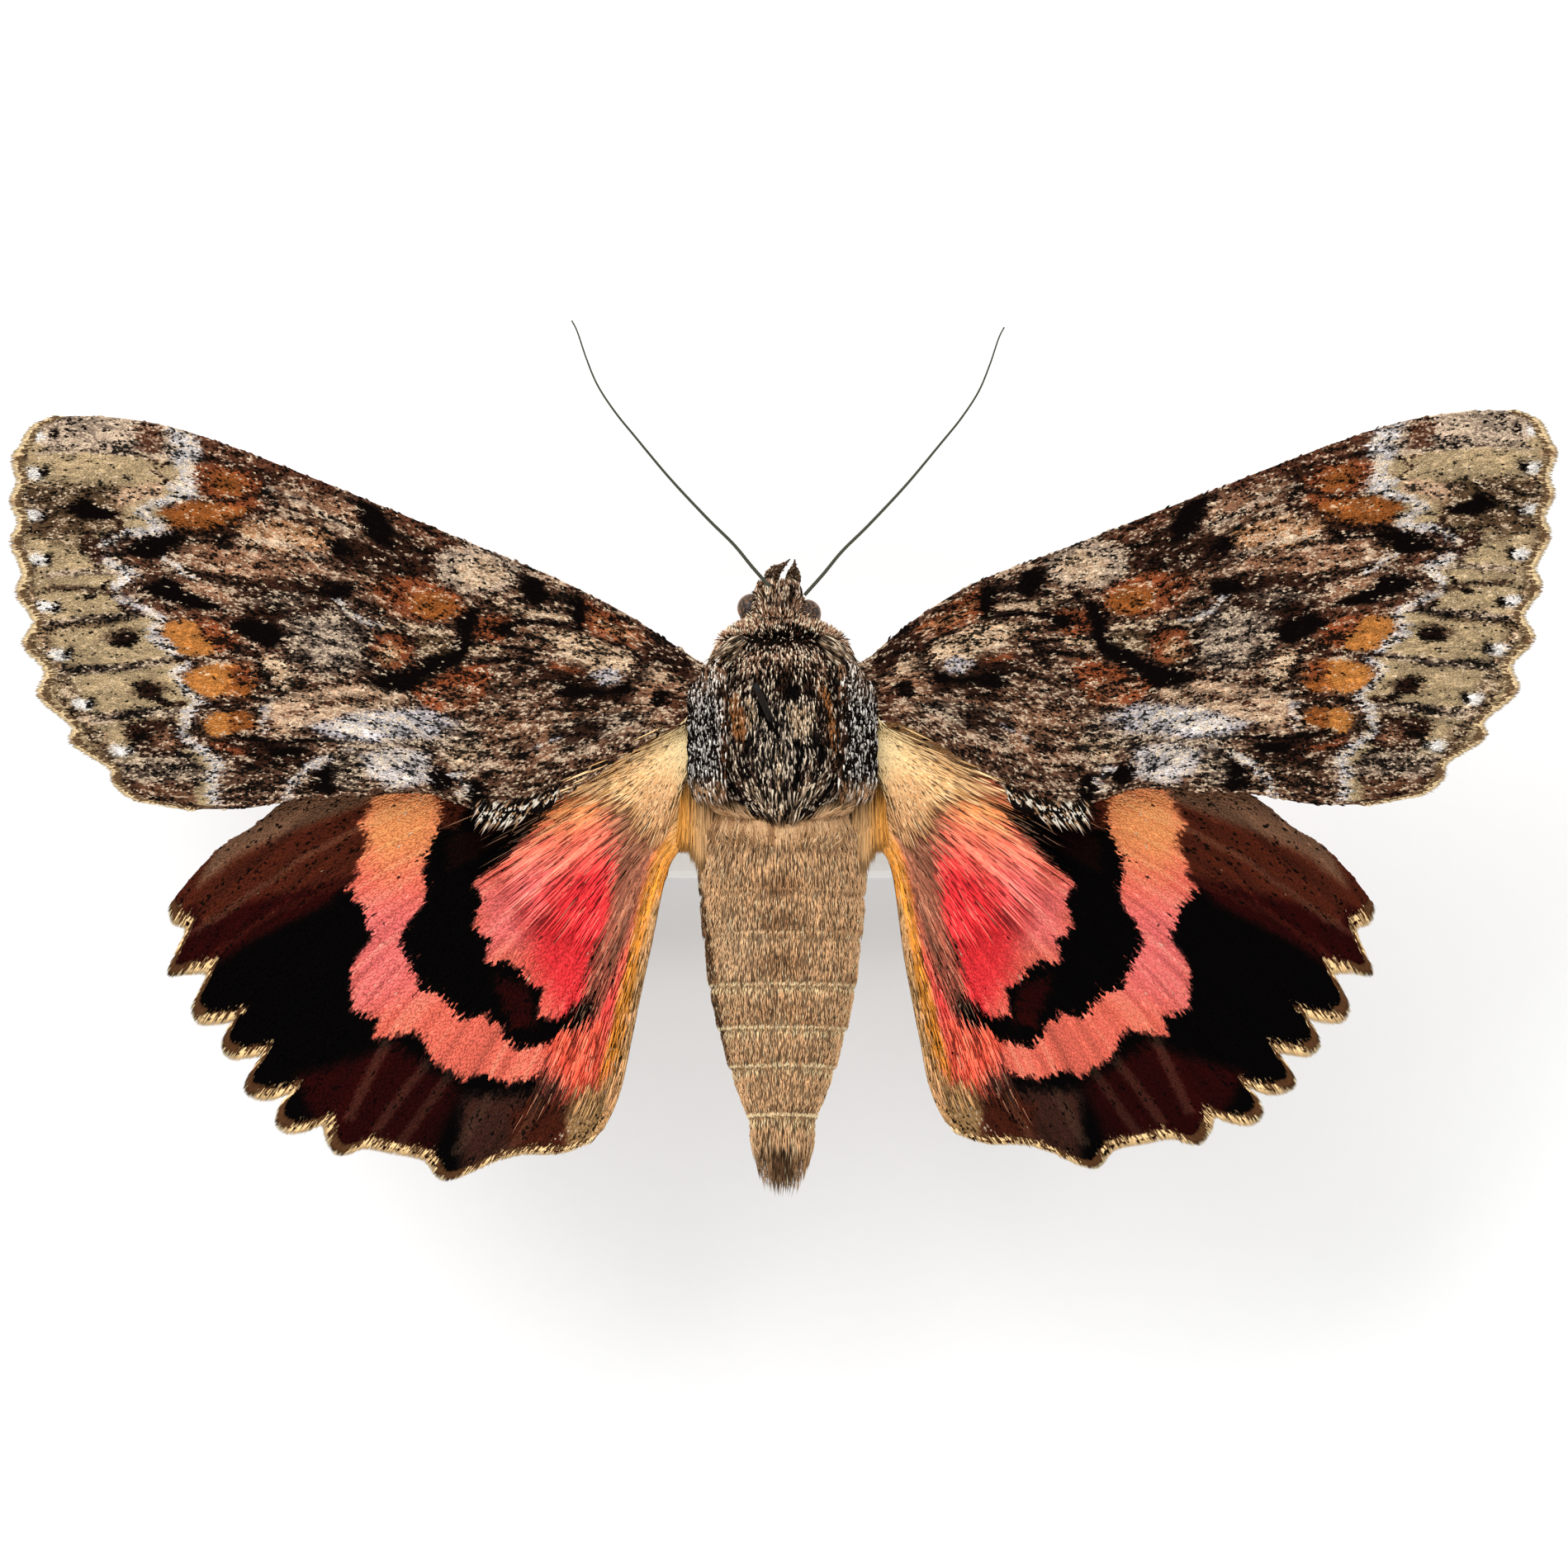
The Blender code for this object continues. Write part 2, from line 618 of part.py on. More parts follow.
def raised(mesh):
    mesh.transform(Matrix.Translation(mm(0, 0, BODY_AXIS_HEIGHT)))
    return mesh


def lift_up(thing):
    thing.data.transform(Matrix.Translation(mm(0, 0, BODY_AXIS_HEIGHT)))
    return thing


def thorax_grown():
    return raised(body_loft("thorax_grown", THORAX, THORAX_SQUARENESS, GAP))


def head_frame():
    """From the head's own frame to the model's."""
    x, y, z = HEAD_AT
    turn = Matrix.Rotation(math.radians(HEAD_TURN), 4, "Z")
    return Matrix.Translation(mm(x, y, z + BODY_AXIS_HEIGHT)) @ turn


def head_loft(grow=0.0):
    mesh = body_loft("head", HEAD, HEAD_SQUARENESS, grow, 24)
    mesh.transform(head_frame())
    return mesh


def make_head():
    """Head, eyes, palps and the coiled tongue."""
    new_object("head", head_loft(), "body_hair")
    for side, name in ((-1, "eye_left"), (1, "eye_right")):
        bm = bmesh.new()
        bmesh.ops.create_icosphere(bm, subdivisions=3, radius=EYE_RADIUS * 0.001)
        x, y, z = EYE_AT
        bmesh.ops.translate(bm, verts=bm.verts, vec=mm(side * x, y, z))
        face = HEAD[2][1] + GAP
        whole = [*bm.verts, *bm.edges, *bm.faces]
        at, way = mm(side * face, 0, 0), (-side, 0, 0)
        cut = bmesh.ops.bisect_plane(bm, geom=whole, plane_co=at, plane_no=way, clear_outer=True)
        rim = [e for e in cut["geom_cut"] if isinstance(e, bmesh.types.BMEdge)]
        bmesh.ops.contextual_create(bm, geom=rim)
        eye = new_object(name, mesh_from(bm, name), "eye")
        eye.data.transform(head_frame())
    for side, lean, name in ((-1, PALP_LEAN[0], "palp_left"), (1, PALP_LEAN[1], "palp_right")):
        path = []
        for k, (x, y, z) in enumerate(PALP_PATH):
            path.append(mm(side * x + lean * (k / 4) ** 2, y, z))
        line = smooth_line(path, 10)
        steps = [(-k, radius) for k, radius in enumerate(PALP_RADII)]
        radii = [0.001 * between(steps, -i * 4 / 9) for i in range(10)]
        palp = tube(name, line, radii, "horn_brown", 2)
        palp.data.transform(head_frame())
        cut_clear(palp, head_loft(GAP))
    make_coil()


def make_coil():
    """The tongue, rolled up under the face."""
    steps = 26
    path = []
    for k in range(steps + 1):
        t = k / steps
        turn = math.radians(100) + 2 * math.pi * COIL_TURNS * t
        reach = COIL_RADII[0] + (COIL_RADII[1] - COIL_RADII[0]) * t
        x, y, z = COIL_CENTRE
        path.append(mm(x, y + reach * math.cos(turn), z + reach * math.sin(turn)))
    radii = [COIL_THICKNESS * 0.001] * len(path)
    coil = tube("proboscis", path, radii, "horn_brown", 1)
    coil.data.transform(head_frame())
    cut_clear(coil, head_loft(GAP))


def make_feelers():
    """Thread-like feelers, thickest at the root, curving out, forward and a little up."""
    for side, root, name in ((-1, FEELER_ROOTS[0], "antenna_left"), (1, FEELER_ROOTS[1], "antenna_right")):
        x0, y0, z0 = root
        count = 26
        line = smooth_line([Vector((x, y, 0)) for x, y in FEELER_RUN], count)
        path, radii = [], []
        for k, point in enumerate(line):
            t = k / (count - 1)
            rise = 0.5 * math.sin(t * 2.4) + FEELER_RISE * t * t
            path.append(mm(x0 + side * point.x, y0 + point.y, z0 + rise))
            radii.append(0.001 * (FEELER_RADII[0] + (FEELER_RADII[1] - FEELER_RADII[0]) * t))
        feeler = lift_up(tube(name, path, radii, "horn_brown", 1))
        cut_clear(feeler, head_loft(GAP))


def make_thorax():
    """The thorax with its coat: rows of locks over the back and lower sides, and the tuft at its rear."""
    draw = random.Random(11)
    thorax = new_object("thorax", body_loft("thorax", THORAX, THORAX_SQUARENESS), "body_hair")
    back_rows = ((3.9, 27, 4), (2.5, 25, 4), (1.1, 25, 4), (-0.2, 28, 5))
    locks = coat(THORAX, THORAX_SQUARENESS, back_rows, THORAX_LOCK, draw, keep=clear_of_pin)
    for y in (2.9, 1.0, -0.8):
        for side in (-1, 1):
            for angle in (104, 122):
                root, out = on_body(THORAX, THORAX_SQUARENESS, y, side * (angle + draw.uniform(-3, 3)))
                along = Vector((0, -1, -0.25)) + out * 0.22
                locks.append(lock(root - out * 0.35, along, out, THORAX_LOCK, 0.15))
    for x, y, length in REAR_TUFT:
        root = Vector((x, y, 3.55))
        along = Vector((-0.32 * x, -1.0, 0.14))
        size = (TUFT_LOCK[0] * length, TUFT_LOCK[1], TUFT_LOCK[2])
        locks.append(lock(root, along, Vector((0.12 * x, 0, 1)), size, 0.22, 4))
    fuse(thorax, locks)
    return lift_up(thorax)


def make_collar():
    """The collar behind the head: a short ring with raised locks either side of a middle notch."""
    collar = new_object("collar", body_loft("collar", COLLAR, 2.2), "body_hair")
    locks = []
    for angle in (-92, -74, -56, -37, -18, 18, 37, 56, 74, 92):
        root, out = on_body(COLLAR, 2.2, 5.5, angle)
        along = Vector((0.0, 0.6 + 0.3 * abs(out.x), 0.0)) + out * (1.0 - 0.45 * abs(out.x))
        size = (COLLAR_LOCK[0] * (1.0 - 0.3 * abs(out.x)), *COLLAR_LOCK[1:])
        locks.append(lock(root - out * 0.7, along, Vector((0, 1, 0)) + out * -0.6, size, 0.1))
    fuse(collar, locks)
    return lift_up(collar)


def make_tegulae():
    """The flaps over the wing roots, with long locks trailing from their back ends."""
    for side, name in ((-1, "tegula_left"), (1, "tegula_right")):
        bm = bmesh.new()
        bmesh.ops.create_uvsphere(bm, u_segments=18, v_segments=10, radius=1.0)
        turn = Matrix.Rotation(math.radians(side * TEGULA_TILT), 4, "Y")
        place = Matrix.Translation((side * TEGULA_AT[0], *TEGULA_AT[1:])) @ turn
        bmesh.ops.transform(bm, verts=bm.verts, matrix=Matrix.Diagonal((*TEGULA_HALF, 1.0)))
        bmesh.ops.transform(bm, verts=bm.verts, matrix=Matrix.Scale(0.001, 4) @ place)
        tegula = new_object(name, mesh_from(bm, name), "body_hair")
        locks = []
        up = (turn @ Vector((0, 0, 1)).to_4d()).to_3d()
        for across, forward, length in TEGULA_LOCKS:
            root = place @ Vector((side * across, forward, 0.0))
            along = Vector((side * across * -0.06, -1.0, 0.06))
            locks.append(lock(root, along, up, (TEGULA_LOCK[0] * length, *TEGULA_LOCK[1:]), 0.12))
        fuse(tegula, locks)
        lift_up(tegula)
        cut_clear(tegula, thorax_grown())


def abdomen_station(y, flare):
    half_width = between(ABDOMEN_WIDTHS, y) + flare
    share = (RING_JOINTS[0] - y) / (RING_JOINTS[0] - TAIL_TIP)
    return y, half_width, half_width * ABDOMEN_FLATNESS, -ABDOMEN_DROOP * share ** 2


def make_abdomen():
    """Six rings, each a little wider at its back edge than the front of the next, and the tail's tuft."""
    draw = random.Random(5)
    for number, (front, back) in enumerate(zip(RING_JOINTS, RING_JOINTS[1:]), 1):
        front -= GAP / 2
        back += GAP / 2
        length = front - back
        places = ((0.0, -0.16), (0.12, -0.02), (0.5, 0.0), (0.86, RING_FLARE), (1.0, -0.06))
        stations = [abdomen_station(front - length * share, flare) for share, flare in places]
        name = f"abdomen_{number}"
        ring = new_object(name, body_loft(name, stations, 2.1), "abdomen_hair")
        if number == 1:
            rows = ((-3.85, 75, 7),)
            fuse(ring, coat(stations, 2.1, rows, (1.75, *RING_LOCK[1:]), draw, lean=10.0))
        lift_up(ring)
    make_tail(draw)


def make_tail(draw):
    """The tuft at the tail: a short core, with locks round it that close to the tip."""
    front = RING_JOINTS[-1]
    stations = [abdomen_station(front - back, 0.0) for back in (GAP / 2, 0.8, 1.6)]
    stations.append((front - 2.6, 0.7, 0.5, -ABDOMEN_DROOP))
    tail = new_object("tail_tuft", body_loft("tail_tuft", stations, 2.1), "abdomen_hair")
    locks = []
    for ring_of, reach, root_y in ((11, 0.92, front - 0.55), (6, 0.45, front - 1.1)):
        for k in range(ring_of):
            turn = 2 * math.pi * (k + 0.5) / ring_of
            half_width = between(ABDOMEN_WIDTHS, root_y) * reach
            out = Vector((math.cos(turn), 0, math.sin(turn)))
            height = half_width * out.z * ABDOMEN_FLATNESS - ABDOMEN_DROOP
            root = Vector((half_width * out.x, root_y, height)) - out * 0.25
            tip_y = TAIL_TIP + draw.uniform(0.0, 0.35)
            tip = Vector((out.x * 0.62 * reach, tip_y, out.z * 0.42 * reach - ABDOMEN_DROOP))
            size = ((tip - root).length, TAIL_LOCK[1], TAIL_LOCK[2])
            locks.append(lock(root, tip - root, out, size, 0.28))
    tail_point = Vector((0.1, front - 1.4, -ABDOMEN_DROOP))
    way = Vector((0.0, TAIL_TIP, -ABDOMEN_DROOP)) - tail_point
    locks.append(lock(tail_point, way, Vector((0, 0, 1)), (way.length, 1.1, 0.6), 0.0))
    fuse(tail, locks)
    lift_up(tail)


def make_wings():
    for side, name in ((-1, "left"), (1, "right")):
        fore = wing_sheet("forewing_" + name, FORE_COSTA, FORE_MARGIN, FORE_INNER, FORE_VEIN_TIPS, FORE_PLANE,
                          FORE_ARCH, settle_fore(side), "forewing_scales")
        hind = wing_sheet("hindwing_" + name, HIND_COSTA, HIND_MARGIN, HIND_INNER, HIND_VEIN_TIPS,
                          FORE_PLANE - WING_PLANES_APART, HIND_ARCH, settle_hind(side), "hindwing_scales")
        for wing in (fore, hind):
            lift_up(wing)
            cut_clear(wing, thorax_grown())


def make_legs():
    for pair, joints in LEGS.items():
        for side, name in ((-1, "left"), (1, "right")):
            path, radii = [], []
            for (a, b), (r0, r1) in zip(zip(joints, joints[1:]), zip(LEG_RADII, LEG_RADII[1:])):
                for k in range(4):
                    t = k / 4
                    point = Vector(a).lerp(Vector(b), t)
                    path.append(mm(side * point.x, point.y, point.z))
                    radii.append(0.001 * (r0 + (r1 - r0) * t))
            x, y, z = joints[-1]
            path.append(mm(side * x, y, z))
            radii.append(0.001 * LEG_RADII[-1])
            leg = lift_up(tube(f"leg_{pair}_{name}", path, radii, "horn_brown", 1))
            cut_clear(leg, thorax_grown())


clear_scene()
MOTH = bpy.data.collections.new("underwing_moth")
CUTTERS = bpy.data.collections.new("cutters")
bpy.context.scene.collection.children.link(MOTH)
bpy.context.scene.collection.children.link(CUTTERS)
make_stand()
make_thorax()
make_collar()
make_tegulae()
make_abdomen()
make_head()
make_feelers()
make_wings()
make_legs()
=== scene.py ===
import math
import bpy
import numpy as np
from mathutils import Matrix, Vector


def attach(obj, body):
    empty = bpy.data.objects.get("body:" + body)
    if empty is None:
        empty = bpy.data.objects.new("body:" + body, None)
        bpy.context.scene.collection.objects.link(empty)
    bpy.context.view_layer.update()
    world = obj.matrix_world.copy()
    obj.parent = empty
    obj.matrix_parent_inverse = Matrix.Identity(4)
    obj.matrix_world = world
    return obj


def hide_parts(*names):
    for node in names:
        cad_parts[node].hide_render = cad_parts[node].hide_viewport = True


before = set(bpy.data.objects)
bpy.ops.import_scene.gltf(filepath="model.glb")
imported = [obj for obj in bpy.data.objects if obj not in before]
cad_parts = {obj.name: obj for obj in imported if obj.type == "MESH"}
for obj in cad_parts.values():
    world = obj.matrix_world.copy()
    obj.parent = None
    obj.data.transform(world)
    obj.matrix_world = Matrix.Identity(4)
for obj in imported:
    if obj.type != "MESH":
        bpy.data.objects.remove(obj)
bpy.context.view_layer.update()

# Sizes are in millimetres, outward from the body, forward and up, unless a name says pixels.
# Pixels are the photo's, 1899 across, measured on the moth's left half.
mm = 0.001
axisHeight = 21.0                     # the body's axis over the floor
pixelsPerMm = 26.84
middlePixel = (947.5, 922.0)          # where the body's axis and the model's origin are in the photo
sideNames = {-1: "left", 1: "right"}


print("camera, light and floor")
view = {
    "aim": (0.07, -1.02), "frameWidth": 70.75, "frameHeight": 24.0, "lens": 180.0, "sensor": 36.0,
    "skyStrength": 1.21, "keyPower": 1.17, "keySize": 260.0, "keyPlace": (-170.0, 210.0, 330.0),
    "fillPower": 0.24, "fillSize": 300.0, "fillPlace": (220.0, -120.0, 300.0),
    "floorSize": 3000.0, "floorTone": (0.73, 0.73, 0.73),
}


def point(*place):
    return Vector(place) * mm


def addLight(name, power, size, place):
    bpy.ops.object.light_add(type="AREA", location=point(*place))
    lamp = bpy.context.object
    lamp.name = name
    lamp.data.energy = power
    lamp.data.size = size * mm
    way = point(*view["aim"], axisHeight) - lamp.location
    lamp.rotation_euler = way.to_track_quat("-Z", "Y").to_euler()


rise = view["frameWidth"] * view["lens"] / view["sensor"]
bpy.ops.object.camera_add(location=point(*view["aim"], view["frameHeight"] + rise))
camera = bpy.context.object
camera.data.lens = view["lens"]
camera.data.sensor_width = view["sensor"]
camera.data.clip_start = 0.01
bpy.context.scene.camera = camera
bpy.context.scene.view_settings.view_transform = "Standard"
addLight("keyLight", view["keyPower"], view["keySize"], view["keyPlace"])
addLight("fillLight", view["fillPower"], view["fillSize"], view["fillPlace"])
sky = bpy.data.worlds.new("softbox")
sky.use_nodes = True
sky.node_tree.nodes["Background"].inputs["Color"].default_value = (1.0, 1.0, 1.0, 1.0)
sky.node_tree.nodes["Background"].inputs["Strength"].default_value = view["skyStrength"]
bpy.context.scene.world = sky


# Shader maths: a wrapped socket adds a Math node for each sign used on it
class Amount:
    def __init__(self, finish, socket):
        self.finish = finish
        self.socket = socket

    def sum(self, operation, first, second):
        return self.finish.amount("ShaderNodeMath", "Value", {"operation": operation},
                                  **{"0": first, "1": second})

    def __add__(self, other):
        return self.sum("ADD", self, other)

    __radd__ = __add__

    def __mul__(self, other):
        return self.sum("MULTIPLY", self, other)

    __rmul__ = __mul__


class Finish:
    def __init__(self, name, **constants):
        self.material = bpy.data.materials.new(name)
        self.material.use_nodes = True
        self.tree = self.material.node_tree
        self.shader = self.tree.nodes["Principled BSDF"]
        for socket, value in constants.items():
            self.shader.inputs[socket.replace("_", " ")].default_value = value

    def join(self, value, socket):
        if isinstance(value, Amount):
            self.tree.links.new(value.socket, socket)
        elif isinstance(value, tuple) and len(value) == 3 and socket.type == "RGBA":
            socket.default_value = (*value, 1.0)
        else:
            socket.default_value = value

    # Any node: its kind, its settings, then what goes into its sockets, by name or by number
    def node(self, kind, settings=None, **sockets):
        made = self.tree.nodes.new(kind)
        for name, value in (settings or {}).items():
            setattr(made, name, value)
        for name, value in sockets.items():
            key = int(name) if name.isdigit() else name.replace("_", " ")
            self.join(value, made.inputs[key])
        return made

    def amount(self, kind, output, settings=None, **sockets):
        return Amount(self, self.node(kind, settings, **sockets).outputs[output])

    def place(self):
        return self.amount("ShaderNodeTexCoord", "Object")

    def stored(self, name, output="Color"):
        return self.amount("ShaderNodeAttribute", output, {"attribute_name": name})

    def noise(self, where, scale, detail=3.0, rough=0.6):
        return self.amount("ShaderNodeTexNoise", "Fac", None, Vector=where, Scale=scale, Detail=detail,
                           Roughness=rough)

    def stretch(self, where, scale):
        return self.amount("ShaderNodeVectorMath", "Vector", {"operation": "MULTIPLY"},
                           **{"0": where, "1": scale})

    def mix(self, factor, first, second, blend="MIX"):
        made = self.node("ShaderNodeMix", {"data_type": "RGBA", "blend_type": blend})
        self.join(factor, made.inputs[0])
        self.join(first, made.inputs[6])
        self.join(second, made.inputs[7])
        return Amount(self, made.outputs[2])

    def bump(self, height, distance, strength=1.0):
        return self.amount("ShaderNodeBump", "Normal", None, Height=height, Distance=distance * mm,
                           Strength=strength)

    def wear(self, **links):
        for socket, value in links.items():
            self.join(value, self.shader.inputs[socket.replace("_", " ")])
        return self.material


def linear(colour):
    # from the 0 to 255 of a picture to the light that a shader works in
    share = np.asarray(colour, float) / 255.0
    return np.where(share <= 0.04045, share / 12.92, ((share + 0.055) / 1.055) ** 2.4)


def tint(*colour):
    return tuple(float(v) for v in linear(colour))


bpy.ops.mesh.primitive_plane_add(size=view["floorSize"] * mm)
floor = bpy.context.object
floor.name = "floor"
finish = Finish("floorPaper", Roughness=0.9)
grain = finish.noise(finish.place(), 900.0)
floor.data.materials.append(finish.wear(
    Base_Color=finish.mix(grain, view["floorTone"], tuple(v * 1.02 for v in view["floorTone"]))))


# Wings: the same outlines as the solids, from the root out, front edge, margin and inner edge
wings = {
    "fore": {
        "costa": ((2.6, 4.05), (3.63, 4.43), (4.94, 5.29), (7.28, 6.78), (10.26, 8.27), (13.84, 9.76),
            (17.42, 11.25), (21.07, 12.74), (25.06, 14.28), (27.78, 15.13), (30.16, 15.52), (32, 15.58),
            (33.07, 15.5)),
        "margin": ((33.07, 15.5), (34.04, 15.05), (34.52, 14.23), (34.89, 13.6), (34.7, 12.59),
            (34.97, 11.7), (34.63, 10.73), (34.97, 9.87), (34.44, 8.49), (34.71, 7.53), (33.96, 6.33),
            (34.41, 5.22), (33.44, 4.1), (33.7, 2.91), (32.21, 1.56), (32.25, 0.82), (30.53, -0.3),
            (30.42, -0.89), (29.6, -1.62), (28.3, -1.92), (26.84, -2.16)),
        "inner": ((2.6, 2.1), (3.63, 1.86), (5.31, 1.38), (6.99, 0.37), (8.85, -0.86), (10.56, -1.94),
            (12.57, -2.57), (13.77, -2.2), (15.97, -1.45), (18.87, -1.53), (21.44, -1.64), (24.13, -2.1),
            (26.84, -2.16)),
        "veinTips": (3, 5, 7, 9, 11, 13, 15, 17), "plane": 2.05, "arch": 0.35,
    },
    "hind": {
        "costa": ((2.6, 1.35), (4.2, 1.75), (6.99, 1.86), (11.08, 1.42), (15.93, 0.63), (19.65, -0.48),
            (22.26, -1.6), (23.94, -2.91), (25.32, -3.8), (26.55, -4.99), (27.51, -6.18), (27.85, -6.78)),
        "margin": ((27.85, -6.78), (27.66, -7.41), (27.11, -7.64), (27.14, -8.05), (27.51, -8.83),
            (27.85, -9.76), (26.99, -9.69), (26.14, -9.76), (26.4, -10.43), (26.77, -11.33),
            (26.47, -11.96), (25.54, -11.96), (24.68, -11.77), (25.2, -12.33), (25.43, -13.11),
            (24.98, -13.56), (24.24, -13.49), (23.64, -13.49), (24.2, -14.34), (24.42, -14.98),
            (23.94, -15.35), (23.19, -15.39), (22.34, -15.09), (22.82, -15.76), (23.01, -16.47),
            (22.52, -16.92), (21.63, -16.8), (20.92, -16.54), (20.73, -17.21), (20.32, -17.85),
            (19.65, -17.81), (18.98, -17.59), (17.79, -17.81), (16.34, -18.14), (15.78, -18.82),
            (15.37, -19.04), (14.55, -18.82), (13.32, -18.26), (11.9, -17.88), (10.19, -17.81),
            (8.7, -17.32)),
        "inner": ((2.6, -1.8), (3.9, -2.9), (4.6, -3.9), (5.1, -4.7), (5.46, -5.89), (5.91, -8.12),
            (6.39, -10.36), (6.84, -12.59), (7.32, -14.83), (7.92, -16.32), (8.7, -17.32)),
        "veinTips": (0, 5, 9, 14, 19, 24, 29, 35), "plane": 0.97, "arch": -0.25,
    },
}
# How far each place of the right wings is set from the left ones' mirror image
rightSet = {
    "foreForward": ((4.0, 0.1), (5.5, 0.4), (8.5, 0.55), (12.0, 0.32), (20.0, 0.15), (28.0, 0.22),
        (40.0, 0.3)),
    "foreOutward": ((-3.0, -0.35), (2.5, -0.4), (8.5, -0.3), (12.4, 0.05), (14.3, 0.25), (16.0, 0.3)),
    "hindInward": ((-19.0, 1.35), (-13.0, 1.05), (-9.0, 1.1), (-5.0, 0.9)),
    "hindForward": ((-19.0, 0.55), (-14.0, 0.15), (-9.0, 0.0)),
}
wingLook = {
    "tipLift": 1.3, "halfSpread": 35.0, "thickness": 0.2, "veinHeight": {"fore": 0.07, "hind": 0.02},
    "veinWidth": 0.011, "cellEnd": 0.46, "pleatHeight": 0.11, "pleats": 9.0,
    "fringeFrom": {"fore": 0.984, "hind": 0.976},
}


def evenly(line, shares):
    # the points at those shares of a line's length
    steps = np.linalg.norm(np.diff(line, axis=0), axis=1)
    along = np.concatenate([[0.0], np.cumsum(steps)]) / steps.sum()
    return np.stack([np.interp(shares, along, line[:, k]) for k in range(line.shape[1])], axis=-1)


def smoothLine(points, count):
    # that many points, evenly spaced, on a smooth curve through the given ones
    p = np.array(points, float)
    p = np.vstack([2 * p[0] - p[1], p, 2 * p[-1] - p[-2]])
    t = np.linspace(0.0, 1.0, 12, endpoint=False)[:, None]
    fine = []
    for a, b, c, d in zip(p, p[1:], p[2:], p[3:]):
        fine.append(0.5 * (2 * b + (c - a) * t + (2 * a - 5 * b + 4 * c - d) * t ** 2
                           + (3 * b - a - 3 * c + d) * t ** 3))
    return evenly(np.vstack(fine + [p[-2:-1]]), np.linspace(0.0, 1.0, count))


def ramp(value, low, high):
    t = np.clip((value - low) / (high - low), 0.0, 1.0)
    return t * t * (3.0 - 2.0 * t)


def fromTable(table, value):
    places, amounts = zip(*table)
    return np.interp(value, places, amounts)


for wing in wings.values():
    wing["front"] = smoothLine(wing["costa"], 500)
    wing["outer"] = smoothLine(wing["margin"], 1500)
    wing["back"] = smoothLine(wing["inner"], 500)
    knots = np.array(wing["margin"])
    lengths = np.concatenate([[0.0], np.cumsum(np.linalg.norm(np.diff(knots, axis=0), axis=1))])
    wing["veins"] = lengths[list(wing["veinTips"])] / lengths[-1]


def onLine(line, share):
    places = np.linspace(0.0, 1.0, len(line))
    return np.stack([np.interp(share, places, line[:, 0]), np.interp(share, places, line[:, 1])], axis=-1)


def wingFlat(kind, u, v):
    # outward and forward, u from the root to the margin and v from the front edge to the inner one
    wing = wings[kind]
    front, back, outer = onLine(wing["front"], u), onLine(wing["back"], u), onLine(wing["outer"], v)
    u, v = u[..., None], v[..., None]
    root = wing["front"][0] * (1 - v) + wing["back"][0] * v
    corners = (1 - u) * root + u * (wing["outer"][0] * (1 - v) + wing["outer"][-1] * v)
    return (1 - v) * front + v * back + (1 - u) * root + u * outer - corners


def relief(kind, u, v):
    # the veins and, on the hindwing, the soft pleats that fan from the root
    height = np.zeros_like(u)
    tips = wings[kind]["veins"]
    for number, tip in enumerate(tips):
        start = 0.08 if number in (0, 1, len(tips) - 3, len(tips) - 2, len(tips) - 1) else wingLook["cellEnd"]
        ridge = np.exp(-((v - tip) / wingLook["veinWidth"]) ** 2) * ramp(u, start, start + 0.08)
        height += wingLook["veinHeight"][kind] * ridge * (1.15 - 0.6 * u)
    if kind == "hind":
        pleats = np.sin(v * math.pi * 2 * wingLook["pleats"])
        height += wingLook["pleatHeight"] * pleats * ramp(v, 0.3, 0.75) * ramp(u, 0.15, 0.5) * 0.5
    return height


def wingPlace(kind, side, u, v):
    # the middle of the wing's sheet in millimetres over the floor
    flat = wingFlat(kind, u, v)
    x, y = flat[..., 0], flat[..., 1]
    if side > 0 and kind == "fore":
        moved = fromTable(rightSet["foreOutward"], y) * ramp(x, 12.0, 30.0)
        x, y = x + moved, y + fromTable(rightSet["foreForward"], x)
    elif side > 0:
        share = ramp(x, 3.6, 7.0) * (0.6 + 0.4 * ramp(x, 7.0, 20.0))
        x, y = x - fromTable(rightSet["hindInward"], y) * share, y + fromTable(rightSet["hindForward"], y)
    wing = wings[kind]
    lift = wingLook["tipLift"] * np.maximum((x - 4.0) / wingLook["halfSpread"], 0.0) ** 1.5
    arch = wing["arch"] * np.sin(math.pi * v) * np.sin(math.pi * np.minimum(1.1 * u, 1.0))
    return np.stack([side * x, y, axisHeight + wing["plane"] + lift + arch + relief(kind, u, v)], axis=-1)


def unit(vectors):
    return vectors / np.maximum(np.linalg.norm(vectors, axis=-1, keepdims=True), 1e-12)


def wingFrame(kind, side, u, v):
    # place, way outward along the wing, way across it, upward
    step = 1e-3
    place = wingPlace(kind, side, u, v)
    out = unit(wingPlace(kind, side, u + step, v) - wingPlace(kind, side, u - step, v))
    across = wingPlace(kind, side, u, v + step) - wingPlace(kind, side, u, v - step)
    up = unit(np.cross(out, across) * -side)
    return place, out, np.cross(up, out), up


def toPixels(flat):
    return middlePixel[0] - pixelsPerMm * flat[..., 0], middlePixel[1] - pixelsPerMm * flat[..., 1]


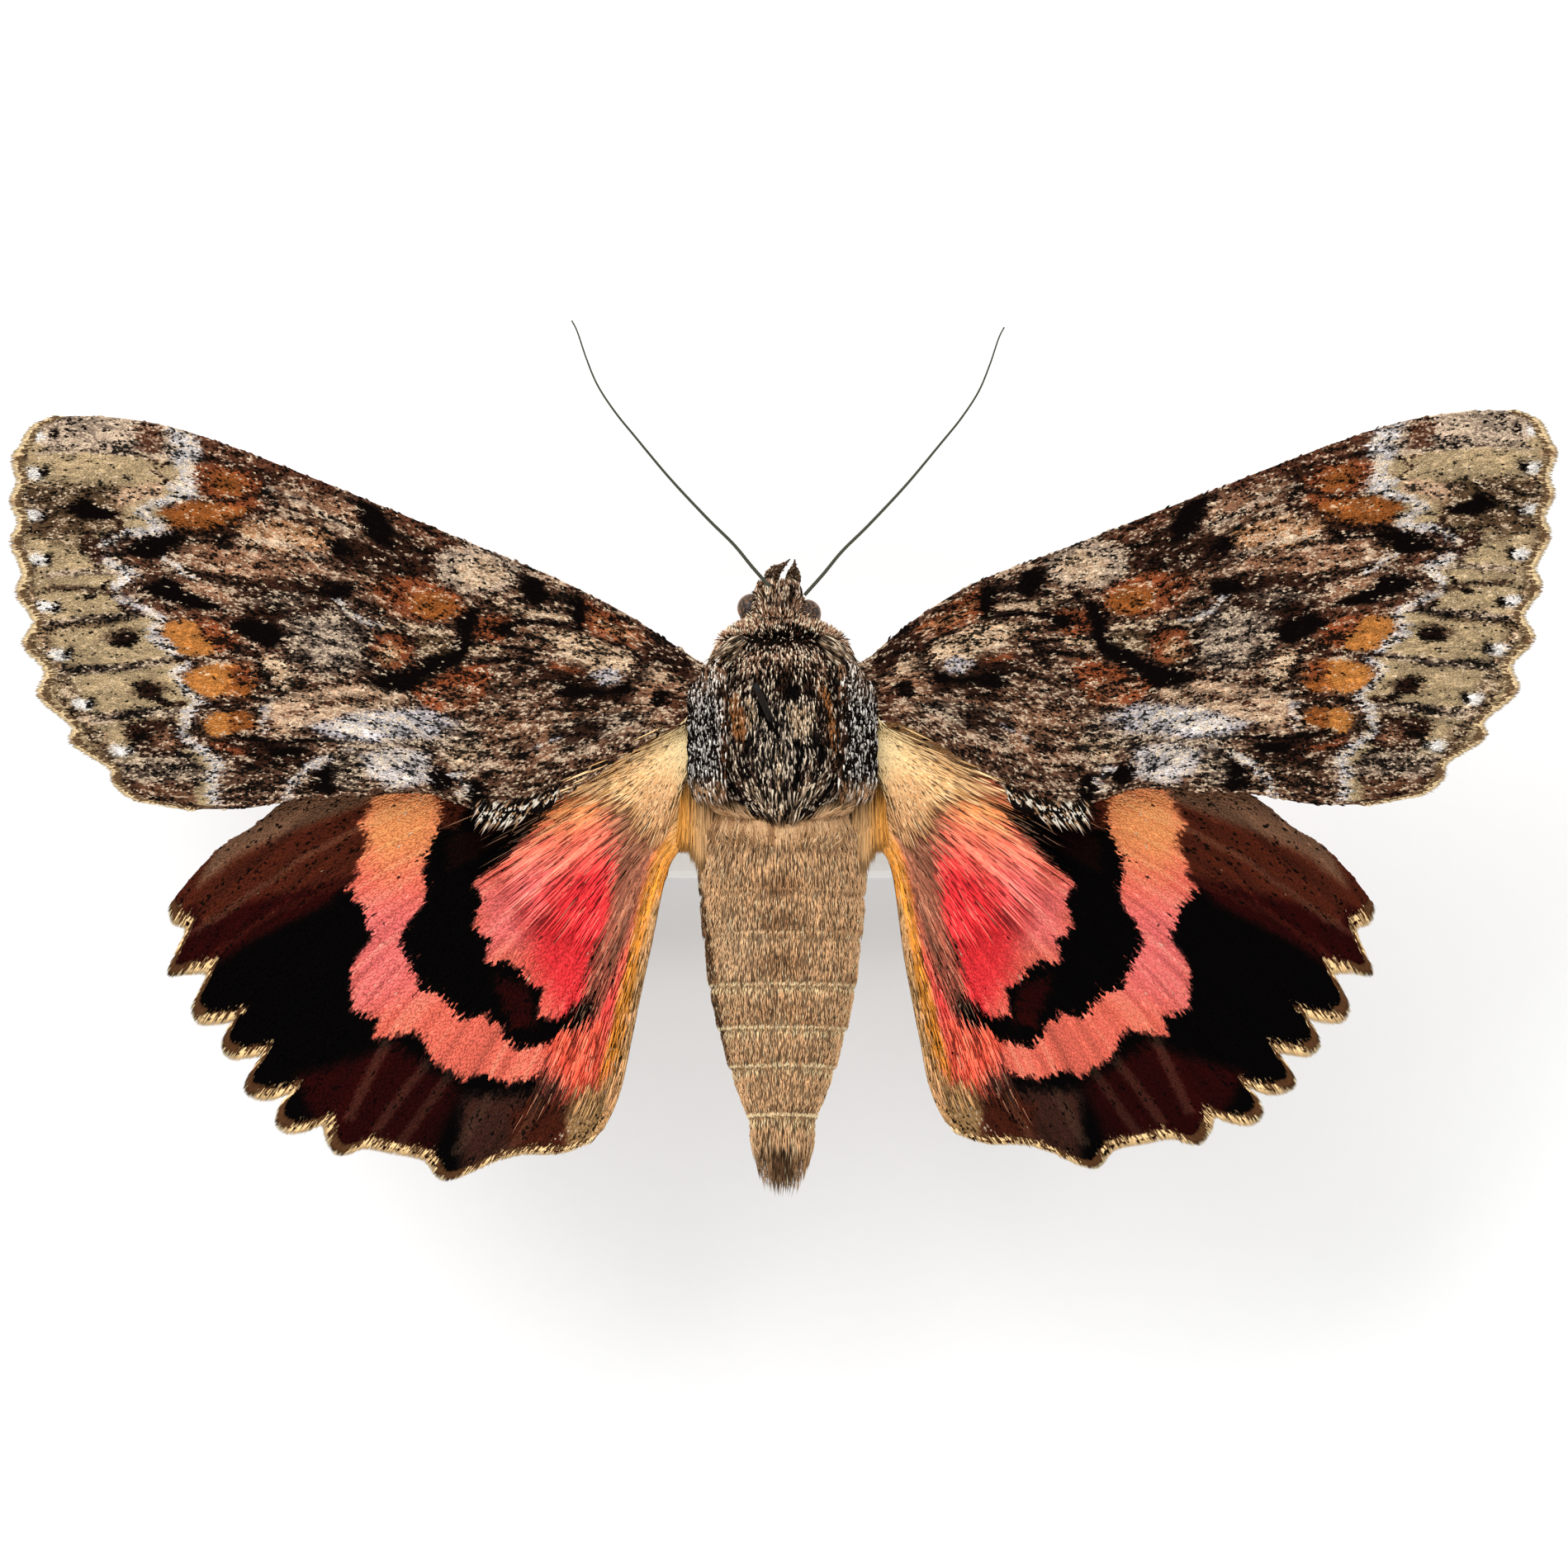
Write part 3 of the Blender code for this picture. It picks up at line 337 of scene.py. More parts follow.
# Markings: named colours, each with its shares of light and dark scales among its own
def patches(x, y, seed):
    # soft random patches from 0 to 1, one unit across
    cellX, cellY = np.floor(x), np.floor(y)
    fx, fy = x - cellX, y - cellY
    fx, fy = fx * fx * (3 - 2 * fx), fy * fy * (3 - 2 * fy)

    def corner(i, j):
        mixed = np.sin((cellX + i) * 127.1 + (cellY + j) * 311.7 + seed * 74.7) * 43758.5453
        return mixed - np.floor(mixed)

    near = corner(0, 0) * (1 - fx) + corner(1, 0) * fx
    far = corner(0, 1) * (1 - fx) + corner(1, 1) * fx
    return near * (1 - fy) + far * fy


def cloud(x, y, seed, levels=3):
    total, weight = 0.0, 0.0
    for level in range(levels):
        share = 0.6 ** level
        total = total + share * patches(x * 2 ** level, y * 2 ** level, seed + 13 * level)
        weight += share
    return total / weight


scaleColours = {
    "bark": ((92, 62, 46), 0.22, 0.36),
    "field": ((182, 157, 120), 0.03, 0.06),
    "drift": ((132, 92, 68), 0.16, 0.32),
    "wheat": ((188, 152, 122), 0.20, 0.18),
    "smoke": ((88, 66, 46), 0.18, 0.24),
    "ash": ((172, 148, 128), 0.30, 0.22),
    "fog": ((132, 112, 98), 0.30, 0.26),
    "pepper": ((98, 79, 66), 0.30, 0.38),
    "snow": ((200, 193, 192), 0.26, 0.26),
    "chalk": ((232, 226, 220), 0.0, 0.10),
    "lilac": ((180, 171, 174), 0.28, 0.27),
    "cream": ((196, 160, 126), 0.32, 0.31),
    "soot": ((8, 3, 2), 0.01, 0.0),
    "umber": ((48, 26, 17), 0.10, 0.32),
    "cocoa": ((88, 52, 36), 0.14, 0.28),
    "ember": ((190, 122, 60), 0.03, 0.03),
    "copper": ((148, 84, 38), 0.06, 0.14),
    "rust": ((134, 70, 40), 0.12, 0.30),
    "toast": ((172, 122, 84), 0.26, 0.26),
}
marginSpots = ((46, 527), (44, 574), (43, 624), (50, 678), (58, 735), (75, 793), (103, 853), (148, 909))
marginDots = ((70, 526), (59, 571), (60, 623), (64, 677), (73, 735), (88, 791), (115, 851), (164, 905))
foreMarks = {
    "outer field": ("area", "field", 7, (232, 530, 245, 551, 212, 583, 239, 598, 199, 618, 206, 641, 143,
        653, 119, 671, 166, 692, 143, 725, 196, 749, 186, 765, 219, 798, 216, 825, 245, 855, 229, 865, 245,
        908, 269, 925, 255, 980, 120, 985, 0, 860, -20, 500, 200, 495)),
    "pale tip": ("area", "ash", 8, (30, 500, 200, 505, 238, 545, 212, 560, 150, 548, 60, 545)),
    "dark by the tip white": ("area", "cocoa", 5, (170, 508, 196, 514, 204, 540, 188, 560, 170, 548)),
    "grey band": ("area", "smoke", 9, (10, 588, 90, 585, 160, 590, 150, 640, 60, 655, 10, 640)),
    "white streaks by the band": ("area", "wheat", 6, (130, 596, 206, 584, 200, 600, 150, 614)),
    "margin shade": ("line", "smoke", 12, (28, 540, 24, 600, 26, 650, 36, 705, 52, 765, 80, 822, 110, 880,
        150, 940, 220, 972), 0.8),
    "vein streak 1": ("line", "pepper", 4, (50, 549, 110, 547, 190, 553)),
    "vein streak 2": ("line", "pepper", 5, (60, 697, 120, 692, 166, 696)),
    "vein streak 3": ("line", "pepper", 6, (60, 756, 120, 749, 178, 744)),
    "vein streak 4": ("line", "pepper", 6, (80, 814, 150, 808, 206, 800)),
    "vein streak 5": ("line", "pepper", 8, (112, 872, 180, 862, 232, 862)),
    "brown by the streak": ("line", "cocoa", 5, (150, 735, 190, 742, 230, 748)),
    "lower outer brown": ("area", "umber", 7, (150, 876, 215, 868, 236, 900, 215, 926, 176, 922, 160, 900)),
    "tan in the brown": ("spot", "drift", 6, (205, 896, 14, 10, 20)),
    "lower outer grey": ("area", "pepper", 8, (140, 922, 230, 912, 262, 938, 240, 950, 160, 950)),
    "corner brown": ("area", "cocoa", 7, (150, 946, 240, 944, 240, 975, 170, 975), 0.8),
    "front edge brown": ("area", "cocoa", 7, (240, 522, 330, 545, 430, 585, 400, 600, 340, 580, 262, 566)),
    "front edge dark": ("area", "umber", 6, (240, 548, 290, 560, 348, 582, 320, 596, 262, 566)),
    "white zigzag": ("line", "snow", 7, (213, 530, 233, 547, 220, 563, 233, 577, 213, 590, 240, 597, 213,
        606, 186, 613, 173, 620, 203, 640, 166, 646, 146, 646, 123, 666, 115, 673, 133, 680, 160, 693, 143,
        713, 146, 722, 173, 735, 200, 748, 186, 763, 193, 773, 213, 790, 230, 802, 213, 816, 226, 832, 246,
        850, 230, 862, 226, 889, 242, 905, 268, 923, 256, 941, 260, 964), 0.95),
    "white at the front edge": ("area", "snow", 6, (200, 514, 240, 530, 246, 552, 236, 596, 212, 606, 222,
        580, 210, 560, 216, 540), 0.9),
    "white low in the zigzag": ("line", "snow", 8, (248, 908, 268, 926, 258, 946, 262, 970)),
    "blot 1": ("area", "soot", 3, (80, 615, 98, 604, 112, 603, 120, 612, 146, 620, 148, 628, 112, 632, 92,
        624)),
    "blot 1 tail": ("line", "umber", 5, (146, 624, 152, 640, 130, 652, 110, 664, 118, 680)),
    "blot 2": ("area", "soot", 3, (97, 664, 110, 656, 122, 668, 116, 678, 104, 674)),
    "blot 3": ("line", "soot", 4, (106, 722, 118, 722, 128, 712, 136, 704)),
    "blot 4": ("area", "soot", 3, (136, 780, 148, 768, 166, 764, 174, 776, 160, 786)),
    "blot 5": ("area", "soot", 4, (162, 838, 176, 824, 192, 830, 206, 846, 190, 850, 176, 846)),
    "brown at blot 5": ("line", "umber", 4, (196, 848, 214, 854, 228, 850)),
    "brown by the zigzag": ("line", "umber", 4, (206, 560, 190, 572, 206, 584)),
    "red brown over orange": ("area", "rust", 7, (236, 566, 262, 562, 306, 572, 322, 592, 318, 612, 286,
        622, 262, 606, 240, 592)),
    "outer streak 1": ("line", "umber", 5, (62, 712, 108, 714, 156, 722), 0.7),
    "outer streak 2": ("line", "smoke", 5, (60, 762, 104, 758, 152, 752), 0.7),
    "outer streak 3": ("line", "pepper", 6, (80, 810, 126, 808, 170, 808), 0.7),
    "outer streak 4": ("line", "pepper", 6, (100, 868, 150, 866, 204, 862), 0.8),
    "outer streak 5": ("line", "smoke", 5, (70, 655, 96, 660, 124, 668), 0.6),
    "outer wedge": ("area", "umber", 4, (98, 652, 114, 640, 130, 672, 124, 690, 108, 674), 0.9),
    "outer brown 1": ("spot", "umber", 5, (150, 770, 18, 8, -10), 0.8),
    "outer brown 2": ("spot", "umber", 6, (182, 834, 20, 10, 0), 0.8),
    "orange over orange 1": ("spot", "copper", 8, (278, 586, 20, 13, 15)),
    "orange 1": ("area", "copper", 5, (198, 622, 216, 610, 244, 604, 268, 612, 276, 630, 246, 642, 214,
        640)),
    "brown end of orange 1": ("area", "copper", 5, (266, 610, 300, 616, 306, 632, 272, 646, 246, 642)),
    "dark in orange 1": ("line", "umber", 5, (284, 606, 312, 600, 324, 612, 300, 628, 278, 634)),
    "black under orange 1": ("line", "soot", 3.6, (330, 604, 338, 607, 338, 616, 322, 628, 318, 640, 296,
        647, 268, 656)),
    "brown under orange 1": ("line", "umber", 4, (296, 640, 262, 644, 230, 646, 206, 646)),
    "white by the hook": ("line", "ash", 4, (322, 592, 344, 596, 352, 610)),
    "front edge pale": ("area", "drift", 8, (336, 586, 404, 604, 436, 622, 426, 646, 372, 628, 344, 610)),
    "white streaks in it": ("line", "ash", 6, (350, 600, 384, 618, 420, 640), 0.8),
    "front edge line": ("line", "soot", 1.6, (362, 606, 384, 620, 430, 638)),
    "orange tan middle": ("area", "toast", 8, (292, 640, 340, 628, 400, 646, 412, 664, 360, 672, 300, 664)),
    "white streaks middle": ("line", "ash", 4, (296, 656, 350, 660, 400, 680), 0.8),
    "grey tan middle": ("area", "drift", 8, (212, 664, 250, 656, 300, 668, 360, 676, 400, 690, 340, 700,
        280, 698, 226, 684)),
    "tooth 1": ("area", "soot", 3, (151, 668, 166, 656, 186, 648, 214, 650, 232, 656, 210, 664, 204, 676,
        178, 678)),
    "tooth 1 line": ("line", "soot", 2.4, (214, 652, 246, 658, 280, 656)),
    "brown between the teeth": ("line", "cocoa", 5, (160, 676, 184, 690, 206, 700, 186, 704), 0.9),
    "white streak between": ("line", "snow", 3, (203, 678, 216, 686, 233, 699)),
    "black streak between": ("line", "soot", 3, (222, 686, 240, 696, 260, 700)),
    "tan over tooth 2": ("area", "drift", 6, (226, 704, 250, 706, 286, 722, 280, 730, 240, 722)),
    "tooth 2": ("area", "soot", 3, (170, 716, 186, 706, 204, 698, 222, 706, 228, 718, 262, 730, 290, 742,
        240, 738, 200, 728)),
    "brown under tooth 2": ("area", "cocoa", 6, (176, 730, 240, 740, 300, 742, 300, 756, 210, 750)),
    "dark past tooth 2": ("area", "umber", 8, (290, 706, 340, 700, 400, 706, 420, 740, 350, 772, 300, 752)),
    "grey in the dark": ("area", "pepper", 6, (296, 728, 350, 716, 390, 726, 350, 742), 0.8),
    "orange 2": ("area", "ember", 4, (200, 768, 206, 754, 232, 750, 248, 762, 268, 788, 246, 794, 216,
        790)),
    "orange 2 end": ("area", "rust", 5, (240, 750, 266, 752, 296, 768, 290, 788, 268, 790, 250, 770)),
    "black past orange 2": ("area", "soot", 5, (276, 756, 300, 748, 336, 756, 352, 776, 330, 788, 306,
        776)),
    "vein under orange 2": ("line", "umber", 4, (214, 799, 262, 798, 312, 792)),
    "orange 3": ("area", "ember", 4, (226, 828, 236, 812, 262, 804, 280, 806, 284, 836, 262, 846, 240,
        840)),
    "orange 3 end": ("area", "copper", 5, (278, 804, 306, 808, 314, 826, 300, 844, 280, 842)),
    "dark in orange 3": ("spot", "rust", 5, (298, 818, 12, 12, 0)),
    "vein under orange 3": ("line", "umber", 4, (244, 856, 272, 852, 312, 846)),
    "orange 4": ("area", "ember", 4, (252, 874, 262, 862, 280, 864, 282, 884, 268, 894, 254, 888)),
    "orange 4 end": ("area", "copper", 4, (280, 862, 306, 862, 312, 880, 284, 888)),
    "dark round orange 4": ("line", "umber", 4, (238, 876, 246, 892, 262, 904)),
    "black line down": ("line", "soot", 3.6, (318, 778, 316, 800, 322, 820, 350, 841, 334, 848, 316, 862,
        312, 884)),
    "boot": ("area", "cream", 5, (322, 792, 344, 800, 362, 820, 356, 838, 332, 824)),
    "light past it below": ("line", "snow", 4, (336, 848, 324, 860, 322, 886), 0.8),
    "tan stripe field": ("area", "wheat", 8, (330, 850, 352, 842, 400, 832, 470, 828, 500, 846, 470, 858,
        400, 876, 336, 890)),
    "line in the field": ("line", "umber", 2.4, (356, 836, 400, 830, 450, 828, 480, 826)),
    "line in the field 2": ("line", "cocoa", 3, (344, 868, 400, 852, 460, 846)),
    "brown left of the streak": ("area", "umber", 6, (266, 896, 300, 888, 350, 902, 384, 912, 372, 926, 300,
        930, 276, 920)),
    "red in the brown": ("line", "rust", 5, (262, 900, 280, 908, 300, 912), 0.8),
    "long black streak": ("line", "soot", 4, (282, 888, 300, 894, 333, 898, 380, 897, 456, 896)),
    "black under the streak": ("area", "soot", 5, (326, 904, 376, 902, 366, 916, 330, 918)),
    "grey brown corner": ("area", "bark", 6, (270, 934, 348, 926, 350, 975, 266, 978)),
    "white bar": ("line", "snow", 5.5, (430, 908, 400, 918, 378, 928, 358, 946, 350, 966)),
    "black beside the bar": ("area", "soot", 4, (376, 946, 386, 930, 406, 922, 428, 926, 430, 948, 404, 962,
        384, 960)),
    "grey field": ("area", "pepper", 9, (346, 748, 410, 738, 446, 762, 446, 812, 400, 822, 350, 800)),
    "light grey field": ("area", "fog", 9, (366, 748, 420, 752, 440, 780, 426, 806, 380, 800)),
    "dark band from the edge": ("area", "soot", 5, (428, 604, 462, 614, 478, 640, 500, 660, 530, 676, 520,
        696, 470, 672, 446, 650)),
    "dark brown by the band": ("area", "umber", 7, (426, 650, 470, 664, 520, 694, 500, 712, 440, 700, 410,
        680)),
    "cream flecks in the dark": ("area", "drift", 7, (424, 690, 456, 694, 470, 716, 440, 724), 0.7),
    "black knot 1": ("area", "soot", 4, (398, 664, 410, 654, 424, 656, 434, 672, 412, 678)),
    "black knot 2": ("area", "soot", 4, (384, 716, 404, 706, 430, 706, 432, 724, 410, 728)),
    "black knot 3": ("line", "soot", 5, (412, 728, 420, 738, 434, 746)),
    "pale by the knot": ("line", "snow", 4, (414, 728, 422, 742, 444, 754, 466, 760), 0.9),
    "cream line": ("line", "cream", 4, (458, 762, 500, 760, 550, 768), 0.9),
    "brown edge patch": ("area", "cocoa", 6, (468, 616, 520, 636, 560, 664, 530, 668, 490, 644)),
    "rust mottling": ("area", "rust", 8, (446, 706, 500, 698, 556, 718, 560, 744, 520, 756, 470, 744)),
    "orange mottling": ("area", "copper", 7, (500, 720, 530, 716, 558, 730, 556, 748, 526, 752, 500, 742)),
    "dark over the mottling": ("area", "umber", 7, (480, 650, 530, 664, 548, 690, 510, 702, 480, 680)),
    "pale edge patch": ("area", "ash", 9, (538, 672, 580, 660, 636, 688, 616, 716, 560, 720, 534, 700)),
    "whitest of it": ("area", "cream", 8, (552, 690, 590, 672, 620, 694, 596, 712, 560, 712), 0.8),
    "kidney": ("spot", "rust", 3, (478, 788, 24, 22, 0)),
    "kidney flecks": ("spot", "toast", 4, (474, 792, 14, 14, 0)),
    "kidney rim": ("line", "soot", 4, (462, 768, 448, 772, 445, 786, 450, 806, 466, 814)),
    "kidney top": ("line", "soot", 3, (452, 766, 480, 766, 504, 774)),
    "grey right of the kidney": ("area", "smoke", 4, (504, 772, 546, 768, 556, 782, 530, 798, 508, 796)),
    "great black bar": ("area", "soot", 4, (558, 744, 572, 734, 584, 742, 582, 770, 574, 792, 556, 806, 522,
        820, 504, 842, 470, 838, 440, 826, 452, 816, 492, 812, 510, 800, 536, 792, 556, 776)),
    "black hook over the ring": ("line", "soot", 4, (578, 742, 590, 730, 612, 732)),
    "rust under the bar": ("area", "rust", 8, (504, 838, 540, 816, 590, 802, 600, 830, 580, 858, 520, 862)),
    "tan in the rust": ("area", "drift", 8, (516, 840, 556, 828, 580, 840, 556, 858), 0.6),
    "ring": ("spot", "rust", 3, (602, 762, 24, 17, -6)),
    "ring middle": ("area", "soot", 3, (594, 764, 604, 752, 626, 754, 632, 764, 606, 772)),
    "black from the ring": ("line", "soot", 4, (620, 756, 650, 752, 688, 758)),
    "cream under the ring": ("line", "cream", 5, (574, 788, 590, 784, 610, 786)),
    "black from the bar": ("line", "soot", 4.5, (600, 800, 624, 797, 646, 800)),
    "black by the cream": ("line", "soot", 4, (612, 784, 632, 786, 652, 792)),
    "tan middle of the root": ("area", "drift", 8, (632, 762, 680, 764, 672, 784, 640, 782)),
    "cream over the ring": ("line", "cream", 6, (606, 730, 640, 742, 684, 748)),
    "black by the edge": ("area", "soot", 5, (624, 706, 640, 696, 664, 706, 668, 728, 654, 738, 634, 722)),
    "brown by the edge": ("area", "bark", 6, (664, 704, 700, 716, 690, 734, 668, 728)),
    "red brown by the root": ("area", "rust", 8, (700, 722, 740, 742, 790, 776, 764, 782, 716, 766, 700,
        744)),
    "tan in the red brown": ("area", "toast", 7, (716, 744, 760, 762, 784, 782, 740, 770), 0.7),
    "black knot by the root": ("area", "soot", 4, (686, 726, 706, 722, 716, 744, 708, 764, 692, 762, 692,
        742)),
    "cream flecks by the root": ("area", "cream", 8, (650, 764, 700, 766, 770, 794, 766, 812, 720, 812, 680,
        790)),
    "brown over the belly": ("area", "umber", 6, (640, 806, 676, 802, 712, 812, 722, 830, 680, 832, 650,
        826)),
    "rust over the belly": ("line", "rust", 5, (676, 806, 706, 814), 0.9),
    "lilac by the root": ("area", "lilac", 5, (720, 818, 736, 808, 756, 812, 752, 828, 730, 830)),
    "black belly": ("area", "soot", 6, (662, 822, 700, 828, 740, 834, 772, 818, 790, 820, 760, 842, 700,
        850, 670, 838)),
    "dark streaks under it": ("area", "umber", 7, (690, 846, 740, 842, 780, 838, 740, 858, 700, 862), 0.8),
    "dark by the root": ("area", "umber", 6, (778, 782, 800, 780, 840, 800, 838, 824, 800, 812, 780, 800)),
    "black root stripe": ("line", "soot", 5, (768, 790, 778, 800, 786, 816)),
    "cream by the stripe": ("area", "cream", 6, (786, 806, 826, 822, 800, 836, 776, 836), 0.7),
    "tan round the hole": ("area", "drift", 8, (772, 824, 830, 826, 840, 868, 800, 878, 768, 866), 0.8),
    "black hole": ("spot", "soot", 2, (800, 849, 9, 10, 20)),
    "brown by the hole": ("area", "cocoa", 6, (808, 846, 836, 842, 836, 876, 814, 880)),
    "root middle brown": ("area", "bark", 8, (610, 806, 680, 832, 672, 866, 612, 866, 590, 830)),
    "lower middle": ("area", "drift", 9, (596, 870, 680, 862, 760, 858, 690, 900, 640, 940, 576, 930), 0.8),
    "black dashes": ("area", "pepper", 8, (670, 874, 750, 862, 800, 862, 740, 890, 680, 914)),
    "dark dashes": ("area", "umber", 8, (676, 880, 746, 868, 720, 896, 680, 910), 0.8),
    "pink brown": ("area", "bark", 8, (576, 908, 640, 902, 650, 936, 590, 948), 0.7),
    "white field": ("area", "lilac", 9, (372, 880, 440, 862, 520, 858, 560, 874, 552, 894, 470, 902, 396,
        892)),
    "whitest field": ("area", "snow", 8, (400, 876, 450, 864, 510, 864, 526, 880, 450, 894, 408, 888)),
    "dark between the whites": ("line", "pepper", 5, (412, 902, 450, 904, 490, 900, 540, 900)),
    "white lobe": ("area", "snow", 8, (436, 912, 480, 904, 524, 912, 520, 948, 480, 956, 440, 936), 0.9),
    "flecks beside the lobe": ("area", "pepper", 7, (404, 908, 440, 908, 446, 936, 430, 958, 410, 950)),
    "flecks right of the white": ("area", "pepper", 8, (536, 880, 580, 876, 596, 930, 560, 930, 530,
        910), 0.8),
    "tan by the lobe": ("area", "cream", 6, (540, 912, 562, 900, 590, 902, 580, 926, 552, 926), 0.7),
    "white hook": ("line", "snow", 4.5, (544, 944, 558, 938, 566, 950, 562, 964, 572, 962)),
    "black by the hook": ("area", "soot", 4, (518, 936, 540, 928, 550, 946, 552, 958, 528, 958)),
    "black by the tuft": ("area", "soot", 5, (570, 946, 584, 944, 596, 962, 580, 982, 568, 970)),
    "lilac dash 1": ("spot", "lilac", 1.5, (655, 902, 7, 3, -20)),
    "lilac dash 2": ("spot", "lilac", 1.5, (674, 893, 7, 3, -15)),
    "margin arcs": ("line", "cream", 3, (33, 552, 31, 566, 44, 586, 30, 598, 28, 614, 42, 634, 32, 648, 34,
        664, 50, 690, 38, 702, 40, 720, 60, 748, 50, 758, 54, 774, 78, 806, 74, 816, 86, 836, 106, 862, 112,
        876, 132, 892, 152, 912), 0.8),
    "margin line": ("line", "umber", 2.4, (26, 548, 22, 566, 34, 586, 21, 600, 19, 614, 32, 636, 22, 650,
        24, 668, 40, 692, 28, 706, 30, 722, 50, 752, 41, 762, 46, 782, 68, 810, 62, 822, 76, 846, 98, 870,
        104, 884, 126, 902, 142, 922, 150, 942, 176, 962, 220, 974, 262, 980), 0.75),
    "margin spots": ("spots", "chalk", 3, (12.0, 7.5, 10, marginSpots)),
    "margin dots": ("spots", "soot", 2.5, (5.5, 8.5, 20, marginDots)),
    "black spot at the root": ("spot", "soot", 2.5, (803, 845, 12, 10, 0)),
}
hindColours = {
    "coral": ((276, 130, 106), 0.002, 0.004),
    "pink": ((276, 132, 126), 0.002, 0.004),
    "apricot": ((276, 174, 108), 0.002, 0.003),
    "flame": ((266, 62, 68), 0.002, 0.008),
    "brick": ((276, 100, 72), 0.002, 0.008),
    "night": ((2, 0, 0), 0.0, 0.0),
    "wine": ((46, 6, 5), 0.0, 0.05),
    "dregs": ((20, 4, 2), 0.0, 0.03),
    "earth": ((64, 36, 28), 0.003, 0.06),
    "walnut": ((82, 34, 20), 0.002, 0.06),
    "fawn": ((126, 90, 68), 0.004, 0.08),
    "gold": ((208, 134, 52), 0.04, 0.06),
    "straw": ((190, 146, 96), 0.10, 0.14),
    "mauve": ((150, 92, 70), 0.12, 0.26),
    "hay": ((222, 172, 118), 0.14, 0.08),
}
